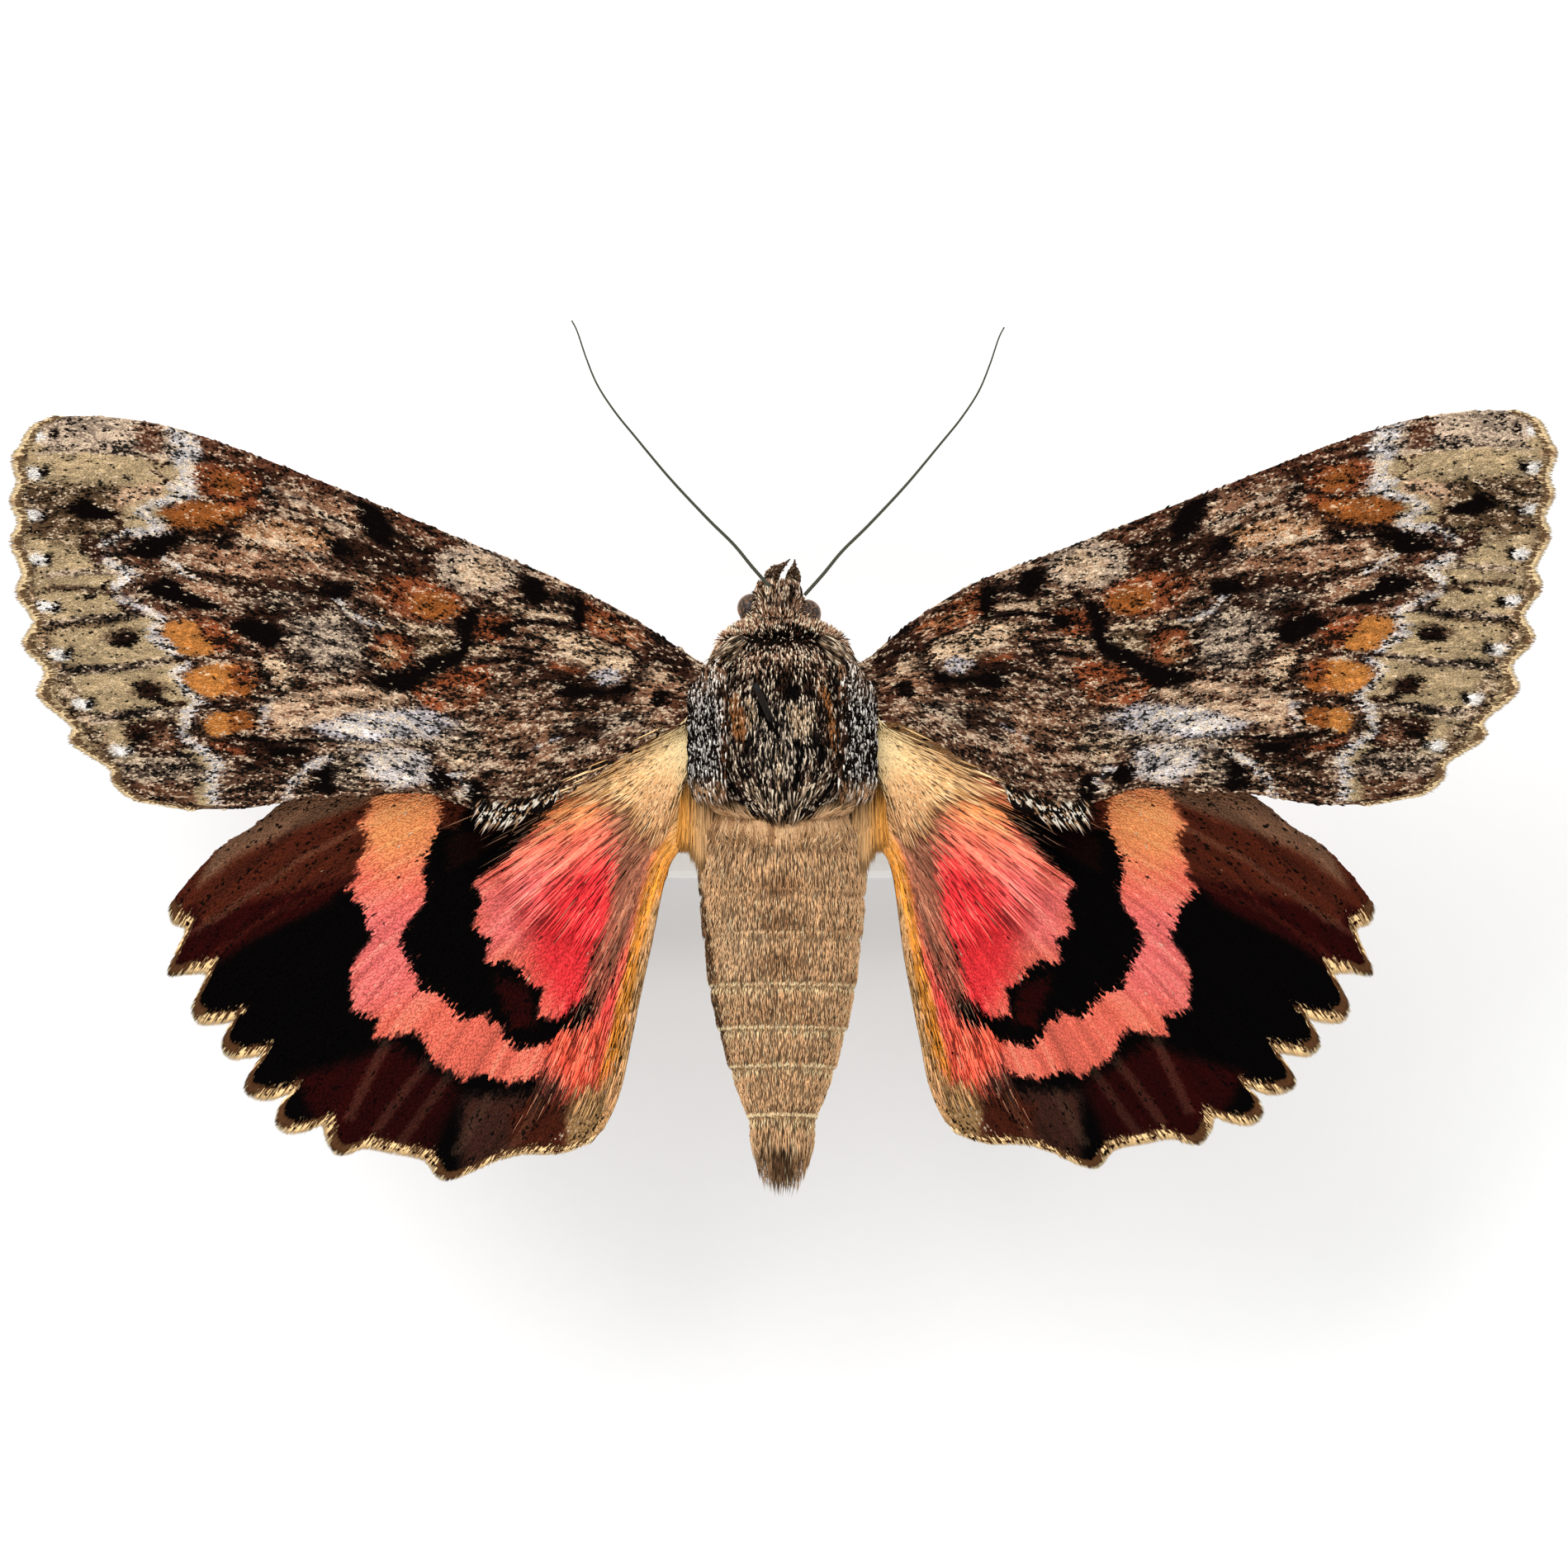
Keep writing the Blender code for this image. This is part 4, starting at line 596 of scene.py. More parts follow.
hindMarks = {
    "orange near the front": ("area", "apricot", 60, (440, 940, 560, 940, 540, 1030, 470, 1050, 430, 1020)),
    "pink middle": ("area", "pink", 46, (425, 1090, 520, 1090, 510, 1200, 420, 1230)),
    "inner orange": ("area", "apricot", 44, (600, 980, 760, 930, 760, 990, 650, 1020)),
    "inner pink": ("area", "pink", 40, (580, 1070, 650, 1060, 650, 1140, 590, 1150)),
    "inner flame": ("area", "flame", 44, (640, 1090, 690, 1060, 740, 1050, 736, 1240, 680, 1230, 650,
        1170)),
    "brown front": ("area", "walnut", 8, (452, 940, 452, 975, 438, 994, 452, 1013, 438, 1041, 426, 1066,
        340, 1110, 200, 1190, 180, 1100, 300, 980, 380, 930)),
    "fawn front edge": ("area", "fawn", 12, (480, 930, 456, 966, 410, 984, 350, 1004, 290, 1034, 240, 1070,
        280, 990, 400, 930)),
    "black band": ("area", "night", 5, (440, 1052, 424, 1070, 447, 1103, 452, 1133, 431, 1157, 426, 1178,
        428, 1221, 461, 1230, 452, 1256, 504, 1244, 520, 1270, 537, 1288, 560, 1306, 584, 1297, 613, 1309,
        648, 1300, 660, 1326, 690, 1335, 700, 1420, 520, 1440, 300, 1380, 180, 1180, 330, 1110)),
    "wine stripe": ("area", "wine", 12, (210, 1140, 300, 1090, 400, 1066, 430, 1060, 400, 1090, 300, 1140,
        240, 1180, 210, 1170)),
    "wine tip": ("area", "wine", 12, (195, 1110, 240, 1090, 250, 1150, 200, 1180)),
    "wine lower band": ("area", "wine", 16, (360, 1300, 480, 1262, 560, 1318, 520, 1400, 400, 1390)),
    "earth lower band": ("area", "earth", 18, (560, 1326, 650, 1320, 700, 1340, 690, 1410, 560, 1420)),
    "walnut lower band": ("area", "walnut", 14, (620, 1340, 700, 1345, 700, 1400, 620, 1400)),
    "vein below 1": ("line", "fawn", 8, (469, 1262, 446, 1304, 425, 1350), 0.34),
    "vein below 2": ("line", "fawn", 8, (518, 1286, 486, 1326, 458, 1364), 0.34),
    "vein below 3": ("line", "fawn", 8, (545, 1300, 514, 1342, 488, 1378), 0.34),
    "vein below 4": ("line", "fawn", 8, (594, 1326, 574, 1358, 555, 1390), 0.34),
    "vein below 5": ("line", "fawn", 8, (654, 1330, 638, 1362, 623, 1390), 0.34),
    "vein in the brown": ("line", "fawn", 5, (440, 1000, 360, 1040, 280, 1098, 226, 1130), 0.35),
    "vein in the wine": ("line", "walnut", 5, (430, 1062, 340, 1098, 262, 1150, 232, 1178), 0.4),
    "straw corner": ("area", "straw", 12, (686, 1328, 780, 1300, 770, 1420, 690, 1420)),
    "middle band": ("area", "night", 4, (537, 975, 534, 1006, 521, 1025, 513, 1053, 520, 1072, 513, 1096,
        484, 1133, 494, 1158, 505, 1180, 511, 1194, 540, 1204, 560, 1233, 589, 1224, 611, 1243, 625, 1267,
        654, 1262, 698, 1255, 716, 1246, 716, 1214, 686, 1228, 654, 1228, 659, 1192, 637, 1182, 625, 1163,
        591, 1163, 596, 1134, 574, 1119, 587, 1090, 577, 1068, 608, 1039, 616, 1025, 646, 990, 600, 960)),
    "wine in the band": ("area", "dregs", 8, (548, 1010, 600, 1000, 590, 1030, 545, 1052)),
    "wine in the band below": ("area", "wine", 8, (600, 1180, 640, 1190, 650, 1240, 620, 1240)),
    "smoky front of the band": ("area", "walnut", 8, (536, 960, 576, 960, 560, 1000, 536, 1000)),
    "brown hairs": ("area", "mauve", 14, (700, 975, 800, 985, 790, 1030, 770, 1100, 752, 1160, 736, 1180,
        738, 1100, 728, 1040)),
    "mauve streak": ("area", "mauve", 8, (738, 1060, 722, 1130, 700, 1212, 722, 1240, 744, 1180, 756,
        1100), 0.85),
    "red below": ("area", "brick", 12, (660, 1262, 728, 1250, 722, 1326, 680, 1328), 0.7),
    "gold inner edge": ("area", "gold", 8, (828, 975, 806, 1000, 786, 1040, 770, 1100, 752, 1180, 738, 1250,
        722, 1310, 790, 1320, 830, 1040)),
    "straw edge": ("area", "straw", 7, (790, 1100, 776, 1150, 764, 1210, 750, 1280, 734, 1340, 800, 1340,
        810, 1100)),
    "root hay": ("area", "hay", 16, (880, 860, 720, 880, 640, 930, 690, 972, 740, 985, 780, 1010, 880,
        1010)),
    "hay edge": ("area", "hay", 8, (742, 1300, 800, 1290, 790, 1400, 728, 1400, 734, 1330)),
}


def blendIn(tones, shares, chosen, mask, colour):
    rgb, light, dark = colour
    tones[chosen] += (np.array(rgb, float) - tones[chosen]) * mask[:, None]
    shares[chosen] += (np.array([light, dark]) - shares[chosen]) * mask[:, None]


def lineDistance(x, y, points, closed=False):
    # how far each place is from a line of points, below 0 inside a closed one
    near = np.full(x.shape, 1e9)
    inside = np.zeros(x.shape, bool)
    ends = points[1:] + points[:1] * closed
    for (ax, ay), (bx, by) in zip(points, ends):
        dx, dy = bx - ax, by - ay
        t = np.clip(((x - ax) * dx + (y - ay) * dy) / max(dx * dx + dy * dy, 1e-9), 0.0, 1.0)
        near = np.minimum(near, np.hypot(x - ax - t * dx, y - ay - t * dy))
        if closed and ay != by:
            inside ^= ((ay > y) != (by > y)) & (x < ax + (y - ay) * dx / dy)
    return np.where(inside, -near, near)


def paint(x, y, ground, marks, colours):
    # the colour of each place, and its shares of light and dark scales
    rgb, light, dark = colours[ground]
    tones = np.tile(np.array(rgb, float), (len(x), 1))
    shares = np.tile([light, dark], (len(x), 1)).astype(float)
    for kind, colour, size, shape, *strength in marks.values():
        full = strength[0] if strength else 1.0
        if kind in ("spot", "spots"):
            halfX, halfY, turn, places = (*shape[2:], (shape[:2],)) if kind == "spot" else shape
            c, s = math.cos(math.radians(turn)), math.sin(math.radians(turn))
            reach = max(halfX, halfY) + 3 * size
            for cx, cy in places:
                chosen = np.flatnonzero((abs(x - cx) < reach) & (abs(y - cy) < reach))
                dx, dy = x[chosen] - cx, y[chosen] - cy
                radius = np.hypot((dx * c + dy * s) / halfX, (dy * c - dx * s) / halfY)
                distance = (radius - 1.0) * min(halfX, halfY)
                blendIn(tones, shares, chosen, (1.0 - ramp(distance, -size, size)) * full, colours[colour])
        else:
            xs, ys = shape[::2], shape[1::2]
            reach = 2.5 * size + 2
            chosen = np.flatnonzero((x > min(xs) - reach) & (x < max(xs) + reach)
                                    & (y > min(ys) - reach) & (y < max(ys) + reach))
            distance = lineDistance(x[chosen], y[chosen], list(zip(xs, ys)), kind == "area")
            if kind == "area":
                mask = 1.0 - ramp(distance, -size * 0.6, size * 0.6)
            else:
                mask = 1.0 - ramp(distance, size * 0.4, size * 1.1)
            blendIn(tones, shares, chosen, mask * full, colours[colour])
    return tones, shares


wingPaint = {"fore": ("bark", foreMarks, scaleColours), "hind": ("coral", hindMarks, hindColours)}


def lieSpace(kind, u, v):
    # pixels along the scales' lie and across it
    width = np.linalg.norm(onLine(wings[kind]["front"], u) - onLine(wings[kind]["back"], u), axis=-1)
    return u * wingLength[kind], (v - 0.5) * width * pixelsPerMm


wingLength = {"fore": 850.0, "hind": 640.0}
streaks = {
    "fore": {"slip": 14.0, "slipLong": 14.0, "slipWide": 2.3, "aside": 3.0, "fleckLong": 8.5,
             "fleckWide": 2.2, "own": 0.40, "deep": 0.50, "mottle": 3.6},
    "hind": {"slip": 16.0, "slipLong": 16.0, "slipWide": 2.3, "aside": 3.0, "fleckLong": 40.0,
             "fleckWide": 3.0, "own": 1.20, "deep": 0.10, "mottle": 0.6, "rays": 0.52},
}


def wingTone(kind, u, v, draw, jitter):
    # markings at each place of a wing, their edges ragged along the lie, on the hindwing with radial streaks
    # that are partly painted pleat shade, and a rank for its fleck
    look = streaks[kind]
    flat = wingFlat(kind, u, v)
    ahead = unit(wingFlat(kind, u + 1e-3, v) - wingFlat(kind, u - 1e-3, v))
    x, y = toPixels(flat)
    s, t = lieSpace(kind, u, v)
    way = np.stack([-ahead[:, 0], -ahead[:, 1]], axis=-1)
    calm = 1.0 - 0.65 * ramp(u, 0.86, 0.92)
    slip = (draw.normal(0.0, jitter, len(u))
            + look["slip"] * (cloud(s / look["slipLong"], t / look["slipWide"], 3, 2) - 0.5)) * calm
    aside = draw.normal(0.0, jitter * 0.3, len(u)) + look["aside"] * (cloud(s / 20, t / 9, 5) - 0.5)
    x2 = x + way[:, 0] * slip - way[:, 1] * aside
    y2 = y + way[:, 1] * slip + way[:, 0] * aside
    tones, shares = paint(x2, y2, *wingPaint[kind])
    if kind == "hind":
        # radial streaks: the scales' own streaks in the brown zones, and in the coral partly painted pleat
        # shade, with a painted highlight, paler and warmer, on the lighter streaks
        ray = cloud(u * 2.6, v * 84.0, 47, 2)
        warm = ramp(tones[:, 0], 180.0, 230.0) * ramp(tones[:, 2], 60.0, 80.0) * ramp(ray, 0.52, 0.78)
        tones = tones * (1.0 + look["rays"] * (ray - 0.5))[:, None]
        tones = toward(tones, (255.0, 156.0, 120.0), (0.20 * warm)[:, None])
    wide = cloud(s / 46, t / 17, 21)
    fine = cloud(s / look["fleckLong"], t / look["fleckWide"], 8, 2)
    fine = 0.55 * fine + 0.45 * cloud(s / (look["fleckLong"] * 2.2), t / (look["fleckWide"] * 1.8), 18, 2)
    rank = np.empty(len(u))
    order = np.argsort(fine + look["own"] * (draw.random(len(u)) - 0.5))
    rank[order] = np.linspace(0.0, 1.0, len(u))
    band = look["mottle"] * (cloud(s / 26, t / 5.5, 31, 2) - 0.5)
    shares = shares * np.clip(np.stack([1.0 + band, 1.0 - band], axis=-1), 0.15, 2.6)
    busy = np.clip(0.30 + 1.6 * shares.sum(axis=1), 0.0, 1.0)
    shade = 1.0 + look["deep"] * busy * (wide - 0.5 + 0.9 * (rank - 0.5) + 0.35 * np.clip(band, -1.0, 1.0))
    return tones * shade[:, None], shares, rank


def flecked(tones, shares, draw, light=(232, 208, 178), dark=0.10, rank=None, own=0.24):
    # single scales lighter or darker than their neighbours
    pick = draw.random(len(tones)) if rank is None else rank
    own = own * np.clip(0.35 + 2.0 * shares.sum(axis=1), 0.0, 1.0)
    tones = tones * (1.0 + own * (draw.random(len(tones)) - 0.5))[:, None]
    pale = pick > 1.0 - shares[:, 0]
    deep = pick < shares[:, 1]
    whiteness = (0.45 + 0.5 * draw.random(len(tones)))[:, None]
    tones = np.where(pale[:, None], tones + (np.array(light, float) - tones) * whiteness, tones)
    return np.where(deep[:, None], tones * (dark + 0.30 * draw.random(len(tones)))[:, None], tones)


def finishMesh(piece, material, name):
    piece.name = name
    piece.data.name = name
    piece.data.materials.clear()
    piece.data.materials.append(material)
    return piece


toneShare = 0.84                      # the stored share of a tone; the lights are as much stronger


def storeTone(mesh, tones):
    layer = mesh.color_attributes.new("tone", "FLOAT_COLOR", "POINT")
    rgba = np.ones((len(tones), 4), np.float32)
    rgba[:, :3] = np.minimum(linear(np.maximum(tones, 0.0)) * toneShare, 1.0)
    layer.data.foreach_set("color", rgba.ravel())


def plainTone(piece, colour):
    storeTone(piece.data, np.tile(np.array(colour, float), (len(piece.data.vertices), 1)))


def dress(piece, slot, *nodes):
    # a finished piece rides on the one body and stands for the CAD nodes named
    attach(piece, "root")
    if nodes:
        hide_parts(*nodes)


def onMap(across, along):
    # places from 0 to 1, kept off the border of a coat's map
    return np.stack([across, along], axis=-1) * 0.98 + 0.01


def varied(draw, count):
    # sizes about 1, as the hairs of one coat have them
    return 0.7 + 0.6 * draw.random(count)


def toward(tones, colour, share):
    return tones + (np.array(colour, float) - tones) * share


def meshOf(name, points, faces, tones, material, spots=None):
    # points in millimetres; faces of three or four corners; spots are the places on the coat's map
    mesh = bpy.data.meshes.new(name)
    mesh.vertices.add(len(points))
    mesh.vertices.foreach_set("co", (points * mm).astype(np.float32).ravel())
    mesh.loops.add(faces.size)
    mesh.loops.foreach_set("vertex_index", faces.astype(np.int32).ravel())
    mesh.polygons.add(len(faces))
    mesh.polygons.foreach_set("loop_start", np.arange(0, faces.size, faces.shape[1], dtype=np.int32))
    mesh.update(calc_edges=True)
    storeTone(mesh, tones)
    if spots is not None:
        layer = mesh.uv_layers.new(name="OFBake")
        layer.data.foreach_set("uv", spots[faces.ravel()].astype(np.float32).ravel())
    piece = bpy.data.objects.new(name, mesh)
    bpy.context.scene.collection.objects.link(piece)
    return finishMesh(piece, material, name)


spotSize = 0.003


def scaleCoat(name, roots, along, up, length, width, tones, spots, material, rise, thick):
    # flat closed scales with four faces each, lying along the surface with their tips a little raised
    side = np.cross(along, up)
    count = len(roots)
    middle = roots + along * (length * 0.58)[:, None] + up * (length * rise * 0.5 + width * thick)[:, None]
    tip = roots + along * length[:, None] + up * (length * rise)[:, None]
    half = side * (width * 0.5)[:, None]
    points = np.stack([roots, middle + half, tip, middle - half], axis=1).reshape(-1, 3)
    corners = np.array([[0, 1, 3], [1, 2, 3], [0, 2, 1], [0, 3, 2]])
    faces = (corners[None] + 4 * np.arange(count)[:, None, None]).reshape(-1, 3)
    shift = np.array([[0.0, -0.5], [0.5, 0.1], [0.0, 0.5], [-0.5, 0.1]]) * spotSize
    places = (spots[:, None, :] + shift[None]).reshape(-1, 2)
    return meshOf(name, points, faces, np.repeat(tones, 4, axis=0), material, places)


def hairCoat(name, lines, up, width, thick, tones, spots, material):
    # closed tapering hairs, each a row of three-cornered sections between a root and a tip
    count, knots, _ = lines.shape
    inner = knots - 2
    along = unit(lines[:, -1] - lines[:, 0])
    side = unit(np.cross(along, up))
    rows = [lines[:, :1]]
    for k in range(inner):
        centre = lines[:, k + 1]
        size = 1.0 if k == 0 else 0.8
        half = side * (width * size * 0.5)[:, None]
        top = up * (thick * size)[:, None]
        rows.append(np.stack([centre - half, centre + half, centre + top], axis=1))
    rows.append(lines[:, -1:])
    points = np.concatenate(rows, axis=1)
    each = points.shape[1]
    faces = [[0, 1 + k, 1 + (k + 1) % 3] for k in range(3)]
    for ring in range(inner - 1):
        a, b = 1 + 3 * ring, 4 + 3 * ring
        for k in range(3):
            n = (k + 1) % 3
            faces += [[a + k, b + k, b + n], [a + k, b + n, a + n]]
    last = 1 + 3 * (inner - 1)
    faces += [[last + k, each - 1, last + (k + 1) % 3] for k in range(3)]
    faces = (np.array(faces)[None] + each * np.arange(count)[:, None, None]).reshape(-1, 3)
    turn = np.linspace(0.0, 2 * math.pi, each, endpoint=False)
    shift = np.stack([np.cos(turn), np.sin(turn)], axis=-1) * spotSize * 0.5
    places = (spots[:, None, :] + shift[None]).reshape(-1, 2)
    return meshOf(name, points.reshape(-1, 3), faces, np.repeat(tones, each, axis=0), material, places)


print("materials")


def scaleMaterial(name, rough, grainSize, bumpDepth, grainShare=0.19, shine=0.03):
    # matt scales: the stored markings, with a fine grain that breaks up each scale
    finish = Finish(name, Specular_IOR_Level=shine)
    where = finish.place()
    grain = finish.noise(where, 1000.0 / grainSize, 2.0)
    tone = finish.stored("tone")
    low, high = 1.0 - grainShare, 1.0 + grainShare
    shade = finish.mix(1.0, tone, finish.mix(grain, (low, low, low), (high, high, high * 0.98)), "MULTIPLY")
    return finish.wear(Base_Color=shade, Roughness=grain * 0.25 + rough, Normal=finish.bump(grain, bumpDepth))


skinFinish = scaleMaterial("wingSkin", 0.70, 0.12, 0.02)
foreFinish = scaleMaterial("foreScales", 0.66, 0.06, 0.005)
hindFinish = scaleMaterial("hindScales", 0.62, 0.05, 0.002, 0.08, 0.03)
hairFinish = scaleMaterial("mothHair", 0.62, 0.08, 0.005)
bodyFinish = scaleMaterial("bodySkin", 0.80, 0.15, 0.03)


print("wings")
wingMesh = {"rows": 150, "columns": 96}
wingCoat = {
    "fore": {"scales": 45500, "length": 0.30, "width": 0.084, "jitter": 0.8, "rise": 0.10, "thick": 0.26,
             "own": 0.24, "over": -0.02},
    "hind": {"scales": 38500, "length": 0.42, "width": 0.10, "jitter": 1.2, "rise": 0.03, "thick": 0.12,
             "own": 0.06, "over": 0.012},
}
underColours = {
    "fore": ((96, 70, 50), (196, 170, 130)),
    "hind": ((60, 40, 34), (206, 150, 120)),
}


def underTone(kind, u, v):
    # the underside: pale with two dark bands, redder on the hindwing
    dark, pale = (np.array(c, float) for c in underColours[kind])
    wave = u + 0.03 * np.sin(v * 20) + 0.04 * (cloud(u * 20, v * 30, 4) - 0.5)
    bands = np.maximum(np.exp(-((wave - 0.48) / 0.06) ** 2), ramp(wave, 0.68, 0.76))
    return pale + (dark - pale) * bands[:, None]


def addWing(kind, side):
    draw = np.random.default_rng(7 if kind == "fore" else 8)
    name = f"{kind}wing_{sideNames[side]}"
    bpy.ops.object.select_all(action="DESELECT")
    bpy.ops.mesh.primitive_grid_add(x_subdivisions=wingMesh["rows"], y_subdivisions=wingMesh["columns"],
                                    size=1.0)
    wing = bpy.context.object
    spread = np.zeros(len(wing.data.vertices) * 3)
    wing.data.vertices.foreach_get("co", spread)
    spread = spread.reshape(-1, 3) + 0.5
    u, v = spread[:, 0] * wingLook["fringeFrom"][kind], spread[:, 1]
    v = v if side > 0 else 1.0 - v
    placed = wingPlace(kind, side, u, v)
    wing.data.vertices.foreach_set("co", (placed * mm).ravel())
    wing.data.update()
    wall = wing.modifiers.new("wall", "SOLIDIFY")
    wall.thickness = wingLook["thickness"] * mm
    wall.offset = 0.0
    bpy.ops.object.modifier_apply(modifier="wall")
    bpy.ops.object.mode_set(mode="EDIT")
    bpy.ops.mesh.select_all(action="SELECT")
    bpy.ops.mesh.normals_make_consistent(inside=False)
    bpy.ops.object.mode_set(mode="OBJECT")
    bpy.ops.object.shade_smooth()
    tones, shares, rank = wingTone(kind, u, v, draw, 1.0)
    top = flecked(tones, shares * 0.8, draw, rank=rank)
    rim = ramp(np.minimum(v, 1.0 - v), 0.016, 0.0)[:, None]
    under = underTone(kind, u, v)
    under += (tones * 0.8 - under) * rim
    tall = np.zeros(len(wing.data.vertices) * 3)
    wing.data.vertices.foreach_get("co", tall)
    tall = tall.reshape(2, -1, 3)[:, :, 2]
    sheets = (top, under) if tall[0].mean() > tall[1].mean() else (under, top)
    storeTone(wing.data, np.concatenate(sheets))
    finishMesh(wing, skinFinish if kind == "fore" else hindFinish, name + "_skin")
    dress(wing, f"{kind}wing_scales", f"{kind}wing_{sideNames[side]}")
    addScales(kind, side, draw)
    addFringe(kind, side, draw)


def evenPlaces(kind, count, draw):
    # places spread evenly over the wing's area
    number = np.arange(count * 6)
    u, v = (0.5 + 0.7548776662466927 * number) % 1.0, (0.5 + 0.5698402909980532 * number) % 1.0
    step = 2e-3
    du = wingFlat(kind, u + step, v) - wingFlat(kind, u - step, v)
    dv = wingFlat(kind, u, v + step) - wingFlat(kind, u, v - step)
    area = abs(du[:, 0] * dv[:, 1] - du[:, 1] * dv[:, 0])
    order = np.flatnonzero(draw.random(len(u)) < area / np.quantile(area, 0.998))
    keep = order[np.linspace(0, len(order) - 1, min(count, len(order))).astype(int)]
    return u[keep] * wingLook["fringeFrom"][kind], v[keep]


def addScales(kind, side, draw):
    look = wingCoat[kind]
    u, v = evenPlaces(kind, look["scales"], draw)
    tones, shares, rank = wingTone(kind, u, v, draw, look["jitter"])
    tones = flecked(tones, shares, draw, rank=rank, own=look["own"])
    place, out, across, up = wingFrame(kind, side, u, v)
    turn = draw.normal(0.0, 0.16 if kind == "fore" else 0.07, len(u))[:, None]
    along = unit(out + across * turn)
    length = look["length"] * (0.75 + 0.5 * draw.random(len(u)))
    width = look["width"] * (0.75 + 0.5 * draw.random(len(u)))
    roots = place + up * (wingLook["thickness"] * 0.5 + look["over"])
    spots = onMap(u, v)
    coat = scaleCoat(f"{kind}wing_scales_{sideNames[side]}", roots, along, up, length, width, tones, spots,
                     foreFinish if kind == "fore" else hindFinish, look["rise"], look["thick"])
    dress(coat, f"{kind}wing_scales")


# From and to are shares of the way from the root, brown the shares of brown hairs at a lobe and in a notch
fringe = {
    "fore": {"count": 4400, "from": 0.976, "notch": 0.0, "to": 1.0, "width": 0.055, "brown": (0.46, 0.16),
             "tones": ((104, 78, 54), (176, 144, 108), (214, 188, 146)), "reach": (0.002, 0.010)},
    "hind": {"count": 6400, "from": 0.968, "notch": 0.010, "to": 1.004, "width": 0.050, "brown": (0.66, 0.08),
             "tones": ((84, 54, 32), (236, 214, 166), (244, 206, 150)), "reach": (0.006, 0.024)},
}


def addFringe(kind, side, draw):
    # fine hairs along the margin: pale ones, with shorter brown ones over them on the lobes
    look = fringe[kind]
    count = look["count"]
    v = (np.arange(count) + draw.random(count)) / count
    notch = ramp(np.min(abs(v[:, None] - wings[kind]["veins"][None]), axis=1), *look["reach"])
    brown = draw.random(count) < look["brown"][0] + (look["brown"][1] - look["brown"][0]) * notch
    fromU = look["from"] - look["notch"] * notch + 0.006 * draw.random(count)
    toU = look["to"] - 0.010 * draw.random(count) ** 2 - 0.004 * brown
    place, out, across, up = wingFrame(kind, side, fromU, v)
    end = wingPlace(kind, side, toU, v) + across * draw.normal(0.0, 0.05, count)[:, None]
    lines = np.stack([place, place * 0.45 + end * 0.55, end], axis=1)
    lines += up[:, None, :] * np.array([0.10, 0.12, 0.04])[None, :, None]
    lines[:, 1] += up * (0.04 * brown)[:, None]
    dark, lobe, deep = (np.array(tone, float) for tone in look["tones"])
    tones = lobe + (deep - lobe) * notch[:, None]
    tones = np.where(brown[:, None], dark, tones) * (0.84 + 0.28 * draw.random(count))[:, None]
    spots = onMap(fromU, v)
    size = look["width"] * varied(draw, count)
    coat = hairCoat(f"{kind}wing_fringe_{sideNames[side]}", lines, up, size, size * 0.4, tones, spots,
                    hairFinish)
    dress(coat, f"{kind}wing_scales")


for side in sideNames:
    for kind in wings:
        addWing(kind, side)


print("body")
# Sections from the tail forward: y, half width, half height, centre height over the axis
ringJoints = (-2.45, -5.85, -7.75, -9.99, -11.96, -13.71, -15.98)
abdomenWidths = ((-19.3, 0.95), (-17.1, 1.40), (-16.0, 1.68), (-14.8, 2.22), (-13.3, 2.66), (-12.0, 3.02),
                 (-10.4, 3.38), (-8.5, 3.60), (-6.6, 3.80), (-4.4, 3.84), (-3.2, 3.6), (-2.4, 3.0))
bodyLook = {"coatDepth": 0.2, "flatness": 0.86, "droop": 0.35, "tailTip": -19.93, "sides": 56,
            "ringFlare": 0.06, "headTurn": -4.0, "headShift": -0.19}
frontSections = (
    (-2.3, 2.75, 2.95, 0.0), (-1.9, 3.25, 3.45, 0.05), (-1.0, 3.6, 3.8, 0.15), (0.8, 3.85, 4.05, 0.25),
    (2.6, 3.8, 3.95, 0.3), (3.9, 3.5, 3.6, 0.3), (4.6, 3.2, 3.15, 0.25), (5.1, 2.95, 2.8, 0.22),
    (5.45, 2.65, 2.5, 0.2), (5.75, 2.1, 2.05, 0.15), (6.05, 1.4, 1.6, 0.12),
    (6.5, 1.02, 1.28, 0.1), (7.0, 1.02, 1.38, 0.1), (7.5, 1.0, 1.3, 0.08), (7.9, 0.9, 1.05, 0.05),
    (8.12, 0.62, 0.7, 0.02), (8.2, 0.25, 0.3, 0.0),
)


def abdomenStation(y, flare):
    share = (ringJoints[0] - y) / (ringJoints[0] - bodyLook["tailTip"])
    halfWidth = fromTable(abdomenWidths, y) - bodyLook["coatDepth"] + flare
    return y, halfWidth, halfWidth * bodyLook["flatness"], -bodyLook["droop"] * share ** 2


def bodyStations():
    stations = [(-19.0, 0.45, 0.3, -0.35), (-18.8, 0.68, 0.48, -0.35)]
    for back, front in zip(ringJoints[::-1], ringJoints[-2::-1]):
        length = front - back
        flares = ((0.03, 0.0), (0.10, bodyLook["ringFlare"]), (0.3, 0.04), (0.7, 0.01), (0.97, -0.03))
        for share, flare in flares:
            stations.append(abdomenStation(back + length * share, flare))
    return stations + list(frontSections)


